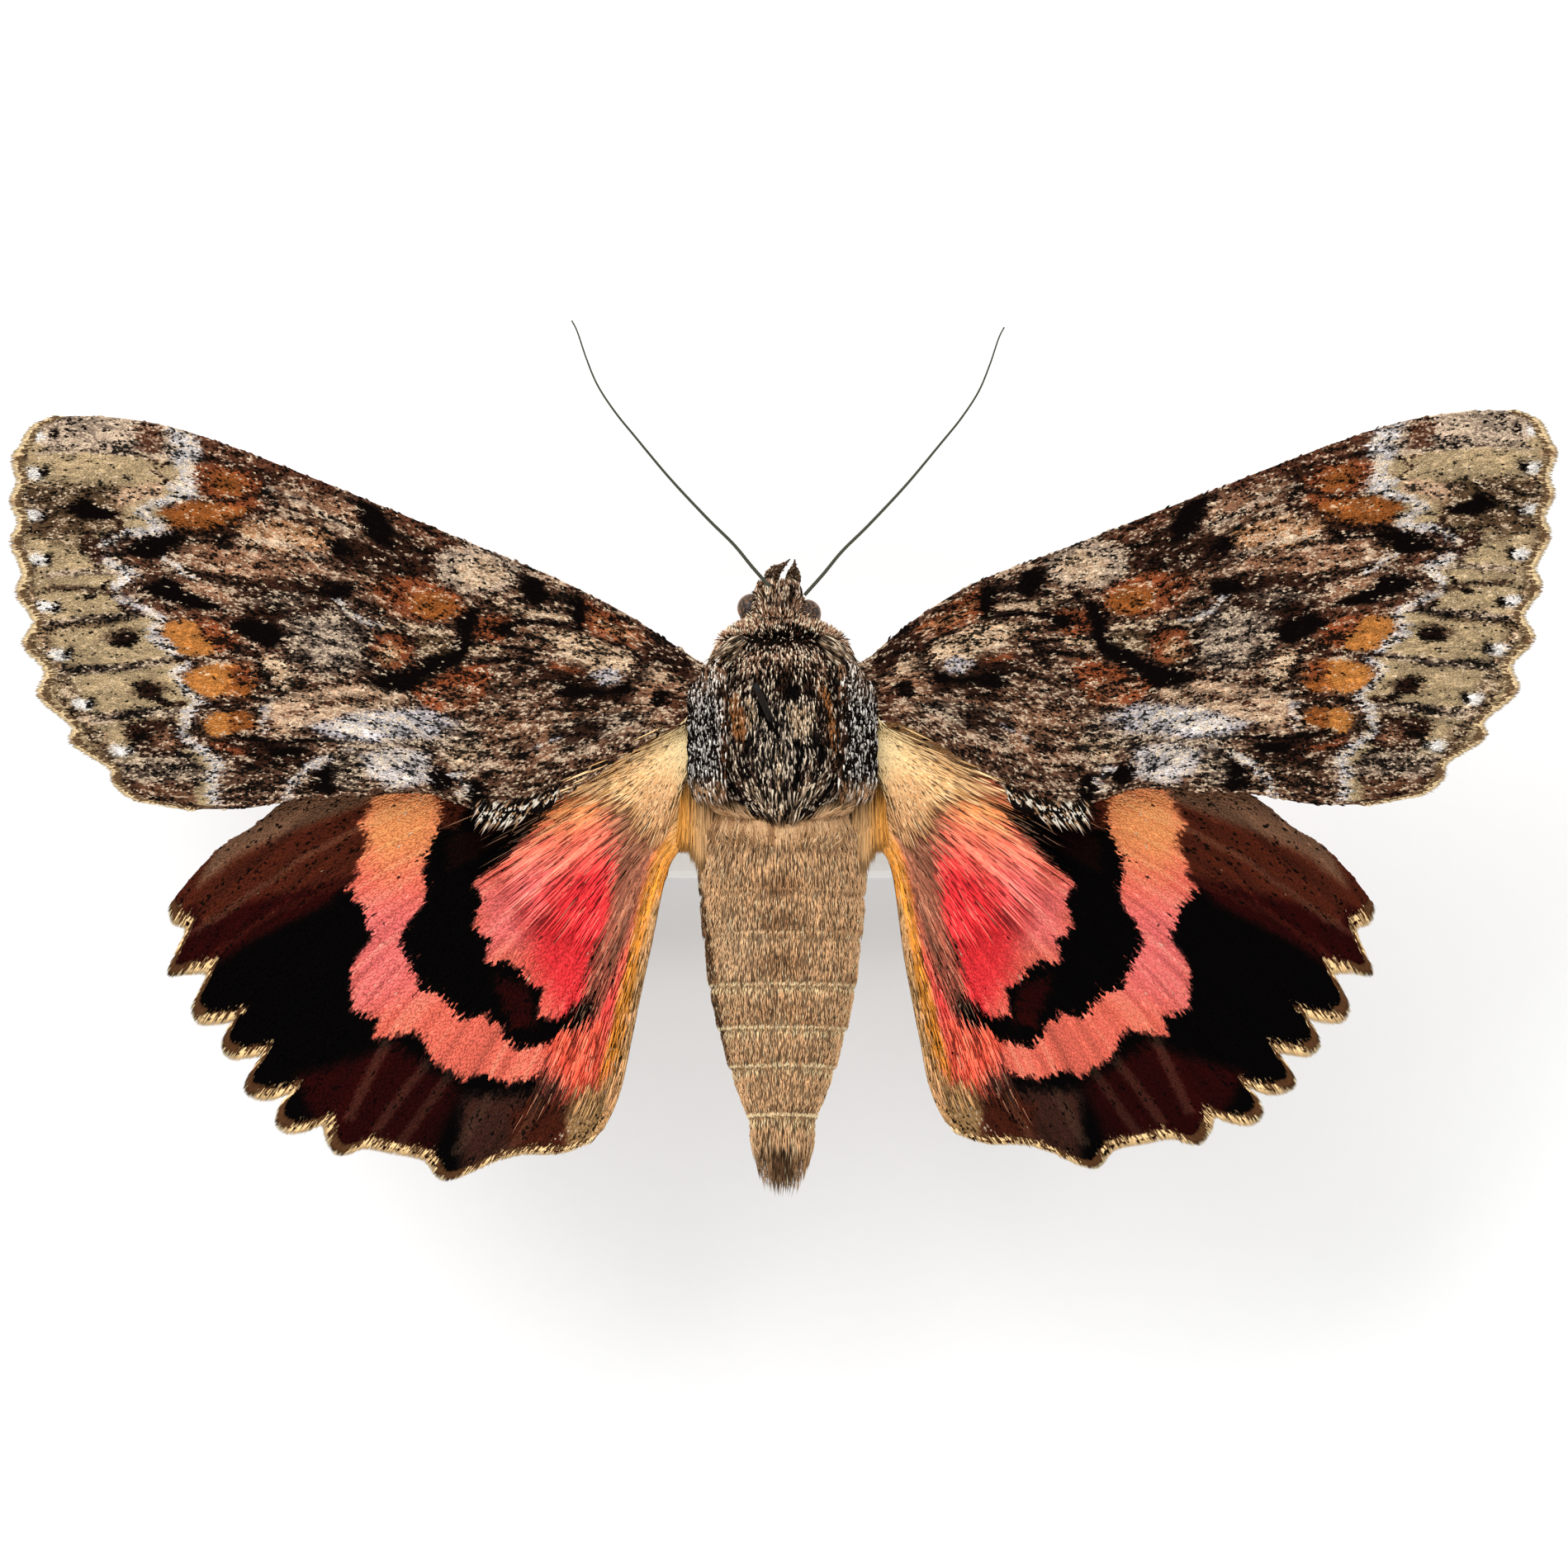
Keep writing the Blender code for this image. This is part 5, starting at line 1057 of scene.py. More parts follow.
def addBody():
    # a ring at the tail, drawn forward from section to section
    stations = bodyStations()
    y, halfWidth, halfHeight, centre = stations[0]
    bpy.ops.object.select_all(action="DESELECT")
    bpy.ops.mesh.primitive_circle_add(vertices=bodyLook["sides"], radius=mm, fill_type="NGON",
                                      rotation=(math.pi / 2, 0.0, 0.0),
                                      location=point(0.0, y, axisHeight + centre))
    body = bpy.context.object
    bpy.ops.object.transform_apply(location=True, rotation=True, scale=True)
    bpy.ops.object.mode_set(mode="EDIT")
    bpy.ops.mesh.select_all(action="SELECT")
    bpy.ops.transform.resize(value=(halfWidth, 1.0, halfHeight),
                             center_override=point(0.0, y, axisHeight + centre))
    for before, after in zip(stations, stations[1:]):
        step = point(0.0, after[0] - before[0], after[3] - before[3])
        bpy.ops.mesh.extrude_region_move(TRANSFORM_OT_translate={"value": step})
        grow = (after[1] / before[1], 1.0, after[2] / before[2])
        bpy.ops.transform.resize(value=grow, center_override=point(0.0, after[0], axisHeight + after[3]))
    bpy.ops.mesh.select_all(action="SELECT")
    bpy.ops.mesh.normals_make_consistent(inside=False)
    bpy.ops.object.mode_set(mode="OBJECT")
    smooth = body.modifiers.new("smooth", "SUBSURF")
    smooth.levels = smooth.render_levels = 1
    bpy.ops.object.modifier_apply(modifier="smooth")
    bpy.ops.object.shade_smooth()
    return body


bodyTable = np.array(bodyStations())


def bodyPlace(y, turn):
    # the skin's point, turn in radians from its top towards the moth's right
    halfWidth, halfHeight, centre = (np.interp(y, bodyTable[:, 0], bodyTable[:, k]) for k in (1, 2, 3))
    shift = bodyLook["headShift"] * ramp(y, 5.2, 6.4)
    height = axisHeight + centre + halfHeight * np.cos(turn)
    return np.stack([halfWidth * np.sin(turn) + shift, y, height], axis=-1)


def bodyFrame(y, turn):
    step = 0.02
    place = bodyPlace(y, turn)
    back = unit(bodyPlace(y - step * 4, turn) - bodyPlace(y + step * 4, turn))
    across = unit(bodyPlace(y, turn + step) - bodyPlace(y, turn - step))
    up = unit(np.cross(back, across))
    up *= np.sign((up * (place - bodyPlace(y, turn + math.pi))).sum(axis=-1, keepdims=True))
    return place, back, across, up


bodyColours = {
    "dusk": ((70, 46, 34), 0.34, 0.42),
    "soot": ((12, 8, 8), 0.10, 0.20),
    "black": ((8, 5, 5), 0.0, 0.0),
    "silver": ((98, 82, 72), 0.42, 0.44),
    "cream": ((190, 156, 122), 0.40, 0.30),
    "collar": ((158, 116, 90), 0.38, 0.20),
    "chestnut": ((164, 106, 62), 0.14, 0.22),
    "head": ((134, 98, 74), 0.34, 0.24),
    "sand": ((222, 176, 130), 0.10, 0.06),
    "sandDark": ((172, 128, 90), 0.08, 0.14),
    "sandLight": ((234, 192, 148), 0.14, 0.04),
    "sandLine": ((244, 214, 164), 0.20, 0.02),
    "flank": ((104, 74, 50), 0.10, 0.36),
}
bodyMarks = {
    "collar": ("area", "collar", 5, (858, 790, 866, 772, 890, 756, 945, 744, 990, 758, 1020, 776, 1030, 792,
        990, 772, 945, 764, 900, 776)),
    "shoulder": ("area", "cream", 4, (842, 800, 846, 782, 858, 768, 876, 770, 872, 796), 0.7),
    # painted shadow under the collar's ridge: a black line under its right half, a fainter one under the left
    "line under the collar": ("line", "black", 3, (944, 763, 966, 768, 990, 778, 1012, 788, 1048, 803)),
    "line under the left collar": ("line", "soot", 2.5, (862, 800, 884, 788, 916, 776), 0.8),
    "front of the disc": ("area", "collar", 8, (900, 784, 990, 784, 1000, 812, 895, 812), 0.8),
    "disc": ("spot", "silver", 12, (946, 880, 42, 56, 0)),
    "brown disc": ("spot", "dusk", 9, (952, 822, 36, 18, 0)),
    "dark by the pin": ("line", "black", 5, (916, 834, 926, 860, 944, 884)),
    "black saddle": ("spot", "black", 6, (959, 830, 10, 12, 0)),
    "light by the pin": ("area", "cream", 5, (950, 846, 984, 850, 990, 884, 960, 888)),
    "light left of the pin": ("area", "cream", 5, (902, 838, 914, 840, 920, 866, 906, 872)),
    "dark middle": ("line", "soot", 6, (968, 892, 966, 930, 958, 966)),
    "white in the middle": ("line", "cream", 4, (944, 900, 942, 940, 944, 976)),
    "dark right": ("line", "soot", 6, (986, 880, 996, 910, 986, 950), 0.9),
    "dark left": ("line", "soot", 6, (912, 884, 898, 910, 908, 950), 0.9),
    "stripe left": ("area", "chestnut", 4, (884, 836, 896, 834, 906, 868, 903, 894, 888, 880)),
    "stripe right": ("line", "chestnut", 5, (990, 818, 1003, 850, 1008, 890, 1024, 940)),
    "tuft left": ("area", "cream", 6, (890, 938, 915, 930, 942, 988, 925, 982), 0.7),
    "tuft right": ("area", "cream", 6, (1006, 938, 975, 930, 948, 988, 965, 982), 0.7),
    "tuft edge": ("line", "black", 3.5, (882, 936, 894, 964, 918, 988, 944, 1001, 970, 988, 996, 964, 1012,
        936)),
    "abdomen": ("area", "sand", 8, (850, 1000, 1060, 1000, 1060, 1500, 850, 1500)),
    "light abdomen": ("area", "sandLight", 16, (870, 1100, 930, 1100, 930, 1200, 880, 1200), 0.7),
    "crest 1": ("spot", "sandDark", 10, (945, 1064, 24, 14, 0)),
    "crest 2": ("spot", "sandDark", 10, (945, 1108, 26, 12, 0)),
    "crest 3": ("spot", "sandDark", 10, (945, 1160, 30, 14, 0), 0.8),
    "crest 4": ("spot", "sandDark", 10, (945, 1215, 30, 12, 0), 0.6),
    # painted shade down the sides of the abdomen, wider and deeper on the left
    "dark flank": ("line", "flank", 9, (842, 1050, 852, 1110, 862, 1190, 874, 1270, 890, 1340)),
    "dark flank right": ("line", "flank", 6, (1050, 1080, 1046, 1160, 1036, 1230, 1020, 1300), 0.8),
    "before ring 2": ("line", "sandDark", 4, (856, 1120, 945, 1117, 1042, 1120), 0.7),
    "before ring 3": ("line", "sandDark", 4, (864, 1181, 945, 1178, 1040, 1181), 0.8),
    "before ring 4": ("line", "sandDark", 4, (878, 1234, 945, 1229, 1032, 1234), 0.8),
    "before ring 5": ("line", "sandDark", 4, (884, 1285, 945, 1274, 1020, 1286), 0.8),
    "before ring 6": ("line", "sandDark", 4, (900, 1342, 945, 1339, 985, 1342), 0.8),
    "ring line 2": ("line", "sandLine", 3, (860, 1131, 945, 1128, 1040, 1131), 0.4),
    "ring line 3": ("line", "sandLine", 3.5, (866, 1193, 945, 1190, 1040, 1193)),
    "ring line 4": ("line", "sandLine", 4, (880, 1247, 945, 1242, 1030, 1247)),
    "ring line 5": ("line", "sandLine", 4, (886, 1298, 945, 1286, 1020, 1300)),
    "ring line 6": ("line", "sandLine", 3.5, (902, 1354, 945, 1351, 985, 1354)),
    "head": ("area", "head", 4, (905, 690, 992, 690, 996, 752, 945, 748, 896, 758)),
    "cream spot on the head": ("spot", "cream", 3, (931, 719, 6, 8, 0)),
    "dark on the head": ("line", "soot", 3, (960, 716, 954, 730, 944, 744), 0.7),
    "tail": ("area", "sandDark", 8, (915, 1385, 980, 1385, 980, 1470, 915, 1470)),
    "dark tail": ("area", "flank", 6, (934, 1380, 960, 1380, 956, 1470, 940, 1470), 0.7),
}


def bodyTone(place, draw, jitter=2.0):
    x = middlePixel[0] + pixelsPerMm * place[:, 0] + draw.normal(0.0, jitter * 0.4, len(place))
    y = middlePixel[1] - pixelsPerMm * place[:, 1] + draw.normal(0.0, jitter, len(place))
    tones, shares = paint(x, y, "dusk", bodyMarks, bodyColours)
    under = ramp(place[:, 2], axisHeight + 0.5, axisHeight - 1.5)[:, None]
    tones += (np.array([170.0, 146.0, 112.0]) - tones) * under
    shares += (np.array([0.2, 0.1]) - shares) * under
    return tones, shares


body = addBody()
vertexPlaces = np.zeros(len(body.data.vertices) * 3)
body.data.vertices.foreach_get("co", vertexPlaces)
vertexPlaces = vertexPlaces.reshape(-1, 3) / mm
vertexPlaces[:, 0] += bodyLook["headShift"] * ramp(vertexPlaces[:, 1], 5.2, 6.4)
body.data.vertices.foreach_set("co", (vertexPlaces * mm).ravel())
draw = np.random.default_rng(3)
tones, shares = bodyTone(vertexPlaces, draw)
storeTone(body.data, tones * (0.62 - 0.34 * ramp(vertexPlaces[:, 1], -2.6, -2.0))[:, None])
finishMesh(body, bodyFinish, "body_skin")
dress(body, "body_hair", "head", "collar", "thorax", "tail_tuft", *[f"abdomen_{k}" for k in range(1, 7)])


def bodyPlaces(count, low, high, draw, widest=math.pi):
    # random places on the skin between two stations, even by area
    tries = count * 9
    y, turn = low + (high - low) * draw.random(tries), widest * (2 * draw.random(tries) - 1)
    wide, before, after = (np.interp(y + step, bodyTable[:, 0], bodyTable[:, 1]) for step in (0.0, -0.1, 0.1))
    weight = wide * np.minimum(np.hypot(1.0, (after - before) / 0.2), 3.0)
    weight = np.where((y > 5.6) & (y < 6.8), weight * 1.6, weight)
    keep = np.flatnonzero(draw.random(len(y)) < weight / weight.max())[:count]
    return y[keep], turn[keep]


def addHair(name, slot, place, along, up, length, width, tones, spots, bend=0.12):
    middle = place + along * (length * 0.5)[:, None] + up * (length * bend)[:, None]
    lines = np.stack([place - up * 0.05, middle, place + along * length[:, None]], axis=1)
    addLines(name, slot, lines, up, width, tones, spots)


def addLines(name, slot, lines, up, width, tones, spots):
    coat = hairCoat(name, lines, up, width, width * 0.5, tones, spots, hairFinish)
    dress(coat, slot)


def bodySpots(y, turn):
    # places on the body coats' map, along the body and round it
    return onMap((y + 20.0) / 29.0, turn / (2 * math.pi) + 0.5)


bodyCoat = {"thoraxHairs": 29000, "abdomenHairs": 24800, "waistHairs": 3000, "ringHairs": 600,
            "webHairs": 1300}


def addThoraxHair():
    draw = np.random.default_rng(31)
    y, turn = bodyPlaces(bodyCoat["thoraxHairs"], -2.2, 8.1, draw)
    place, back, across, up = bodyFrame(y, turn)
    steep = ramp(y, 5.3, 5.6) * ramp(y, 6.55, 6.35)
    tones, shares = bodyTone(place, draw, 1.5)
    mantle = ramp(y, 5.3, 4.5)[:, None]
    shares = shares * (1.0 - mantle * [0.16, -0.12])
    tones = flecked(tones * (1.0 - 0.08 * mantle), shares, draw, (250, 230, 202))
    inward = -np.sign(place[:, 0]) * ramp(y, 1.0, -1.8) * ramp(abs(place[:, 0]), 0.1, 2.0) * 0.8
    headward = ramp(y, 6.35, 6.5)
    back = back * (1.0 - 2.0 * headward)[:, None]
    along = unit(back + np.array([1.0, 0.0, 0.0]) * inward[:, None] + up * 0.16
                 + across * draw.normal(0.0, 0.12, len(y))[:, None])
    raised = unit(up * 0.9 + np.array([0.0, 0.15, 0.30]) + across * draw.normal(0.0, 0.1, len(y))[:, None])
    beside = np.sign(turn) * headward * ramp(abs(turn), 0.4, 0.9) * ramp(y, 7.7, 7.3) * 1.1
    along = unit(along + (raised - along) * steep[:, None] + across * beside[:, None])
    # painted light: the hairs on the steep front of the thorax are painted a quarter lighter, against the
    # shade that falls on that slope
    tones = tones * (1.0 + 0.25 * steep)[:, None]
    length = varied(draw, len(y)) * np.interp(y, [-2.2, -1.0, 1.0, 4.5, 5.6, 6.4, 8.1],
                                                           [1.2, 0.9, 0.58, 0.50, 0.44, 0.56, 0.40])
    width = 0.085 * varied(draw, len(y))
    addHair("thorax_hair", "body_hair", place, along, up, length, width, tones, bodySpots(y, turn))


def addAbdomenHair():
    draw = np.random.default_rng(32)
    y, turn = bodyPlaces(bodyCoat["abdomenHairs"], -18.7, -2.0, draw)
    place, back, across, up = bodyFrame(y, turn)
    axis = np.stack([np.zeros(len(y)), y, np.full(len(y), axisHeight - 0.35)], axis=-1)
    inner = np.where(y < -18.0, np.sqrt(draw.random(len(y))), 1.0)[:, None]
    place = axis * (1.0 - inner) + place * inner
    tones, shares = bodyTone(place, draw, 1.5)
    strand = cloud(place[:, 0] * 9, y * 0.9, 14, 2)
    tones = flecked(tones * (0.80 + 0.36 * strand)[:, None], shares, draw, (224, 202, 164), 0.40)
    brush = ramp(y, -15.8, -16.8)[:, None]
    back = back + (np.array([0.0, -1.0, 0.0]) - back) * brush
    along = unit(back + up * 0.08 + across * draw.normal(0.0, 0.05, len(y))[:, None])
    length = varied(draw, len(y)) * np.interp(y, [-18.7, -16.6, -15.6, -6.0, -2.0],
                                                           [0.95, 0.95, 0.5, 0.6, 0.9])
    width = 0.05 * varied(draw, len(y))
    addHair("abdomen_hair", "abdomen_hair", place, along, up, length, width, tones, bodySpots(y, turn))


def addRingHair():
    # a row of pale scales along the hind edge of each ring
    draw = np.random.default_rng(33)
    count = bodyCoat["ringHairs"]
    rows = {-5.75: 0.06, -7.72: 0.34, -10.02: 0.85, -11.98: 1.0, -13.72: 1.0, -15.98: 0.9}
    y, turn, strong = [], [], []
    for row, share in rows.items():
        turns = (2 * draw.random(count) - 1) * math.pi
        bow = 0.14 * np.cos(turns)
        y.append(row + bow + draw.normal(0.0, 0.03, count))
        turn.append(turns)
        strong.append(np.full(count, share))
    y, turn, strong = np.concatenate(y), np.concatenate(turn), np.concatenate(strong)
    place, back, across, up = bodyFrame(y, turn)
    tones, _ = bodyTone(place, draw, 0.5)
    tones += (np.array([232.0, 208.0, 164.0]) - tones) * strong[:, None]
    tones *= (0.86 + 0.2 * draw.random(len(y)))[:, None]
    along = unit(back + up * 0.05)
    length = 0.20 + 0.08 * draw.random(len(y))
    width = 0.07 * (0.8 + 0.4 * draw.random(len(y)))
    place = place + up * (0.05 + 0.07 * strong)[:, None]
    addHair("ring_hair", "abdomen_hair", place, along, up, length, width, tones, bodySpots(y, turn))


def addWaistHair():
    # long hairs from under the thorax that lie back over the abdomen and meet in the middle
    draw = np.random.default_rng(34)
    count = bodyCoat["waistHairs"]
    share = 2 * draw.random(count) - 1
    turn = share * 1.5
    start = -1.2 - 1.3 * (1 - abs(share)) ** 1.5 - 0.5 * draw.random(count)
    lean = np.where(draw.random(count) < 0.5, 0.66, 0.16)
    reach = (1.2 + 1.3 * abs(share)) * (0.45 + 0.7 * draw.random(count))
    lines = []
    for step, lift in ((0.0, 0.12), (0.4, 0.34), (0.75, 0.34), (1.0, 0.22)):
        y = start - reach * step
        inward = 1.0 - lean * step ** 1.2 * abs(share) ** 0.35
        spot, _, _, up = bodyFrame(np.minimum(y, -1.0), turn * inward)
        lines.append(spot + up * lift)
    lines = np.stack(lines, axis=1)
    tones = np.array([198.0, 156.0, 114.0]) + draw.normal(0.0, 1.0, (count, 1)) * np.array([12.0, 13.0, 14.0])
    strand = ramp(cloud(share * 14.0, start * 1.5, 19, 2), 0.50, 0.72)[:, None]
    tones = toward(tones, (138.0, 96.0, 62.0), strand * 0.75)
    tones = flecked(tones, np.tile([0.10, 0.12], (count, 1)), draw, (236, 206, 162), 0.45)
    width = 0.05 * varied(draw, count)
    addLines("waist_hair", "abdomen_hair", lines, up, width, tones, bodySpots(start, turn))


def addWebHair(side):
    # soft hairs that close the corner between the hindwing's root and the abdomen
    draw = np.random.default_rng(35)
    count = bodyCoat["webHairs"]
    share = draw.random(count)
    x = 3.3 + 1.25 * share + 0.05 * draw.normal(size=count)
    y = -0.6 - 2.0 * draw.random(count)
    tip = -3.95 - np.minimum(3.5 * np.maximum(4.3 - x, 0.0) ** 2, 1.0) - 0.3 * draw.random(count) ** 2
    height = axisHeight + 0.7 + 0.5 * draw.random(count)
    lines = []
    sway = 0.10 * draw.normal(size=count)
    for step in (0.0, 0.4, 0.75, 1.0):
        lines.append(np.stack([side * (x + 0.35 * step * (share - 0.4) + sway * step),
                               y + (tip - y) * step, height + 0.15 * math.sin(math.pi * step)], axis=-1))
    lines = np.stack(lines, axis=1)
    up = np.tile([0.0, 0.0, 1.0], (count, 1))
    warm = ramp(share, 0.35, 0.9)[:, None]
    tones = toward(np.array([206.0, 162.0, 112.0]), (222.0, 154.0, 72.0), warm)
    tones = tones * (0.8 + 0.3 * draw.random(count))[:, None]
    width = 0.06 * varied(draw, count)
    spots = onMap(share, draw.random(count))
    addLines(f"web_hair_{sideNames[side]}", "abdomen_hair", lines, up, width, tones, spots)


addThoraxHair()
addAbdomenHair()
addRingHair()
addWaistHair()
for side in sideNames:
    addWebHair(side)


print("tegulae")
tegulaLook = {"at": (3.28, 1.72, 2.85), "half": (1.12, 3.05, 0.30), "tilt": 45.0, "hairs": 2700,
              "square": 0.55, "slope": 1.1}


def strap(ball, side):
    # points of a ball or its box as places on the tegula, whose front end slopes back outwards
    tilt = math.radians(side * tegulaLook["tilt"])
    turn = np.array([[math.cos(tilt), 0, math.sin(tilt)], [0, 1, 0], [-math.sin(tilt), 0, math.cos(tilt)]])
    x, y, z = tegulaLook["at"]
    placed = (ball * np.array(tegulaLook["half"])) @ turn.T + np.array([side * x, y, axisHeight + z])
    placed[:, 1] -= tegulaLook["slope"] * ramp(ball[:, 1], 0.3, 1.0) * ramp(side * ball[:, 0], -0.7, 1.0)
    return placed, turn


def addTegula(side):
    # a strap-shaped flap with a coat of black and white scales
    draw = np.random.default_rng(41)
    name = f"tegula_{sideNames[side]}"
    bpy.ops.object.select_all(action="DESELECT")
    bpy.ops.mesh.primitive_uv_sphere_add(segments=48, ring_count=24, radius=1.0)
    flap = bpy.context.object
    places = np.zeros(len(flap.data.vertices) * 3)
    flap.data.vertices.foreach_get("co", places)
    places = places.reshape(-1, 3)
    places[:, :2] = np.sign(places[:, :2]) * abs(places[:, :2]) ** tegulaLook["square"]
    places, turn = strap(places, side)
    flap.data.vertices.foreach_set("co", (places * mm).ravel())
    flap.data.update()
    bpy.ops.object.shade_smooth()
    storeTone(flap.data, np.tile([26.0, 18.0, 16.0], (len(places), 1)))
    finishMesh(flap, bodyFinish, name + "_skin")
    dress(flap, "body_hair", name)

    wide, long = 2 * draw.random((2, 2 * tegulaLook["hairs"])) - 1
    inside = abs(wide) ** 5 + abs(long) ** 9 < 1.0
    wide, long = wide[inside], long[inside]
    count = len(wide)
    top = np.sqrt(1.0 - abs(wide) ** 5 - abs(long) ** 9)
    ball = np.stack([wide, long, top], axis=-1)
    place, turn = strap(ball, side)
    up = unit(np.stack([wide ** 3 * 0.6, long ** 7 * 0.6, np.ones(count)], axis=-1) @ turn.T)
    back = np.tile([0.0, -1.0, 0.0], (count, 1))
    along = unit(back - up * (back * up).sum(axis=1, keepdims=True) * 0.85 + up * 0.10
                 + np.array([[-side * 0.04, 0.0, 0.0]]) + draw.normal(0.0, 0.07, (count, 3)))
    pale = (ramp(place[:, 1], -0.1, -1.0) * (0.6 + 0.4 * draw.random(count)))[:, None]
    black, buff, brown = np.array([[20.0, 12.0, 10.0], [196.0, 152.0, 112.0], [120.0, 76.0, 48.0]])
    tones = black + (buff - black) * pale
    inner = ramp(abs(place[:, 0]), 3.0, 2.6)[:, None]
    tones = tones + (brown - tones) * inner * 0.7
    front = ramp(place[:, 1], 2.6, 4.4)[:, None]
    tones = toward(tones, (128.0, 94.0, 70.0), front)
    rim = ramp(abs(wide), 0.55, 0.95)
    shares = np.stack([0.36 - 0.14 * rim, 0.40 + 0.14 * rim], axis=-1) * (1.0 - 0.6 * pale)
    strand = cloud(place[:, 0] * 6.0, place[:, 1] * 1.6, 15, 2)
    tones = flecked(tones, shares * (0.5 + strand)[:, None], draw, (255, 248, 238))
    length = varied(draw, count) * np.interp(place[:, 1], [-1.2, 1.0, 4.5], [0.66, 0.62, 0.5])
    width = 0.105 * varied(draw, count)
    spots = np.stack([long, wide], axis=-1) * 0.49 + 0.5
    addHair(f"tegula_hair_{sideNames[side]}", "body_hair", place, along, up, length, width, tones, spots)


shoulderLook = {"hairs": 1700, "from": (1.9, 5.85), "to": (3.35, 4.2)}


def addShoulder(side):
    # a tan lobe of scales from each end of the collar to the front of the tegula
    draw = np.random.default_rng(42)
    count = shoulderLook["hairs"]
    share = draw.random(count)
    start, end = np.array(shoulderLook["from"]), np.array(shoulderLook["to"])
    flat = start + (end - start) * share[:, None] - np.array([0.45, 0.45]) * draw.random(count)[:, None]
    lift = draw.random(count)
    roots = np.stack([side * flat[:, 0], flat[:, 1], axisHeight + 1.0 + 1.7 * lift], axis=-1)
    along = unit(np.stack([side * (0.80 - 0.25 * share), -0.50 - 0.35 * share, 0.10 + 0.20 * lift], axis=-1)
                 + draw.normal(0.0, 0.10, (count, 3)))
    up = unit(np.tile([side * 0.35, 0.0, 1.0], (count, 1)))
    length = (0.75 + 0.4 * draw.random(count)) * (1.15 - 0.4 * abs(share - 0.5) * 2)
    dark, pale = np.array([84.0, 62.0, 48.0]), np.array([168.0, 136.0, 104.0])
    tones = dark + (pale - dark) * draw.random(count)[:, None]
    tones = flecked(tones, np.tile([0.28, 0.30], (count, 1)), draw, (232, 212, 184), 0.15)
    width = 0.09 * varied(draw, count)
    spots = onMap(share, lift)
    addHair(f"shoulder_hair_{sideNames[side]}", "body_hair", roots, along, up, length, width, tones, spots)


for side in sideNames:
    addTegula(side)
    addShoulder(side)


print("hair at the wing roots")
rootHair = {"hindHairs": 5100, "fanHairs": 2600, "tuftScales": 280}


def addHindHair(side):
    # long soft hairs that fan from the root over the hindwing, and along its inner edge
    draw = np.random.default_rng(51)
    count = rootHair["hindHairs"]
    u = 0.03 + 0.36 * draw.random(count) ** 0.9
    v = 0.20 + 0.80 * draw.random(count) ** 0.7
    edge = draw.random(count) < 0.40
    u = np.where(edge, 0.05 + 0.80 * draw.random(count), u)
    v = np.where(edge, 0.86 + 0.14 * draw.random(count), v)
    length = np.where(edge, 0.07, 0.11) * (0.6 + 0.6 * draw.random(count))
    lines = []
    for share, height in ((0.0, 0.06), (0.35, 0.22), (0.7, 0.2), (1.0, 0.12)):
        spot, _, across, up = wingFrame("hind", side, np.minimum(u + length * share, 0.99), v)
        sway = np.where(edge, 0.02, 0.05) * share
        lines.append(spot + up * height + across * (draw.normal(0.0, 1.0, count) * sway)[:, None])
    lines = np.stack(lines, axis=1)
    tones, shares, rank = wingTone("hind", np.minimum(u + length * 0.8, 0.99), v, draw, 3.0)
    fade = ramp(u, 0.20, 0.05)[:, None]
    tones = toward(tones, (222.0, 176.0, 116.0), fade)
    tones = tones * (0.82 + 0.36 * draw.random(count))[:, None]
    dark = (draw.random(count) < 0.10)[:, None]
    tones = np.where(dark, tones * 0.55, tones)
    pale = (draw.random(count) < 0.12)[:, None]
    tones = np.where(pale, tones + (np.array([255.0, 196.0, 156.0]) - tones) * 0.5, tones)
    width = 0.05 * varied(draw, count)
    spots = onMap(u, v)
    addLines(f"hindwing_hair_{sideNames[side]}", "hindwing_scales", lines, up, width, tones, spots)


def addFanHair(side):
    # pale hairs that fan from the root over the forewing's inner edge and on to the hindwing
    draw = np.random.default_rng(52)
    count = rootHair["fanHairs"]
    aim = draw.random(count) ** 0.6
    heading = np.stack([6.6 - 5.3 * aim, -2.5 - 1.8 * aim], axis=-1)
    reach = np.linalg.norm(heading, axis=1)
    heading /= reach[:, None]
    reach *= 1.0 - 0.22 * ramp(aim, 0.1, 0.3) * ramp(aim, 0.8, 0.6)
    start = 0.85 * draw.random(count) ** 1.2
    long = (0.13 + 0.16 * draw.random(count)) * reach
    origin = np.array([4.2, 0.95]) + draw.normal(0.0, 1.0, (count, 2)) * np.array([0.10, 0.42])
    lines = []
    for step, lift in ((0.0, 0.02), (0.35, 0.14), (0.7, 0.14), (1.0, 0.06)):
        flat = origin + heading * (start * reach + long * step)[:, None]
        edge = np.interp(flat[:, 0], wings["fore"]["back"][:, 0], wings["fore"]["back"][:, 1])
        onHind = ramp(edge - flat[:, 1], -0.25, 0.45)
        height = axisHeight + 2.20 + lift - 1.05 * onHind + 0.25 * onHind * (1.0 - step)
        lines.append(np.stack([side * flat[:, 0], flat[:, 1], height], axis=-1))
    lines = np.stack(lines, axis=1)
    near = np.exp(-((start * reach) / 1.6) ** 2)[:, None]
    tones = np.array([246.0, 198.0, 140.0]) + draw.normal(0.0, 1.0, (count, 1)) * np.array([14.0, 16.0, 18.0])
    tones = toward(tones, (252.0, 226.0, 172.0), near)
    low = ramp(aim, 0.35, 0.75)[:, None] * (1 - near)
    tones = toward(tones, (204.0, 152.0, 106.0), low * 0.7)
    tones = flecked(tones, np.tile([0.12, 0.06], (count, 1)), draw, (250, 222, 176), 0.40)
    up = np.tile([0.0, 0.0, 1.0], (count, 1))
    width = 0.055 * varied(draw, count)
    spots = onMap(start, aim)
    addLines(f"root_fan_{sideNames[side]}", "hindwing_scales", lines, up, width, tones, spots)


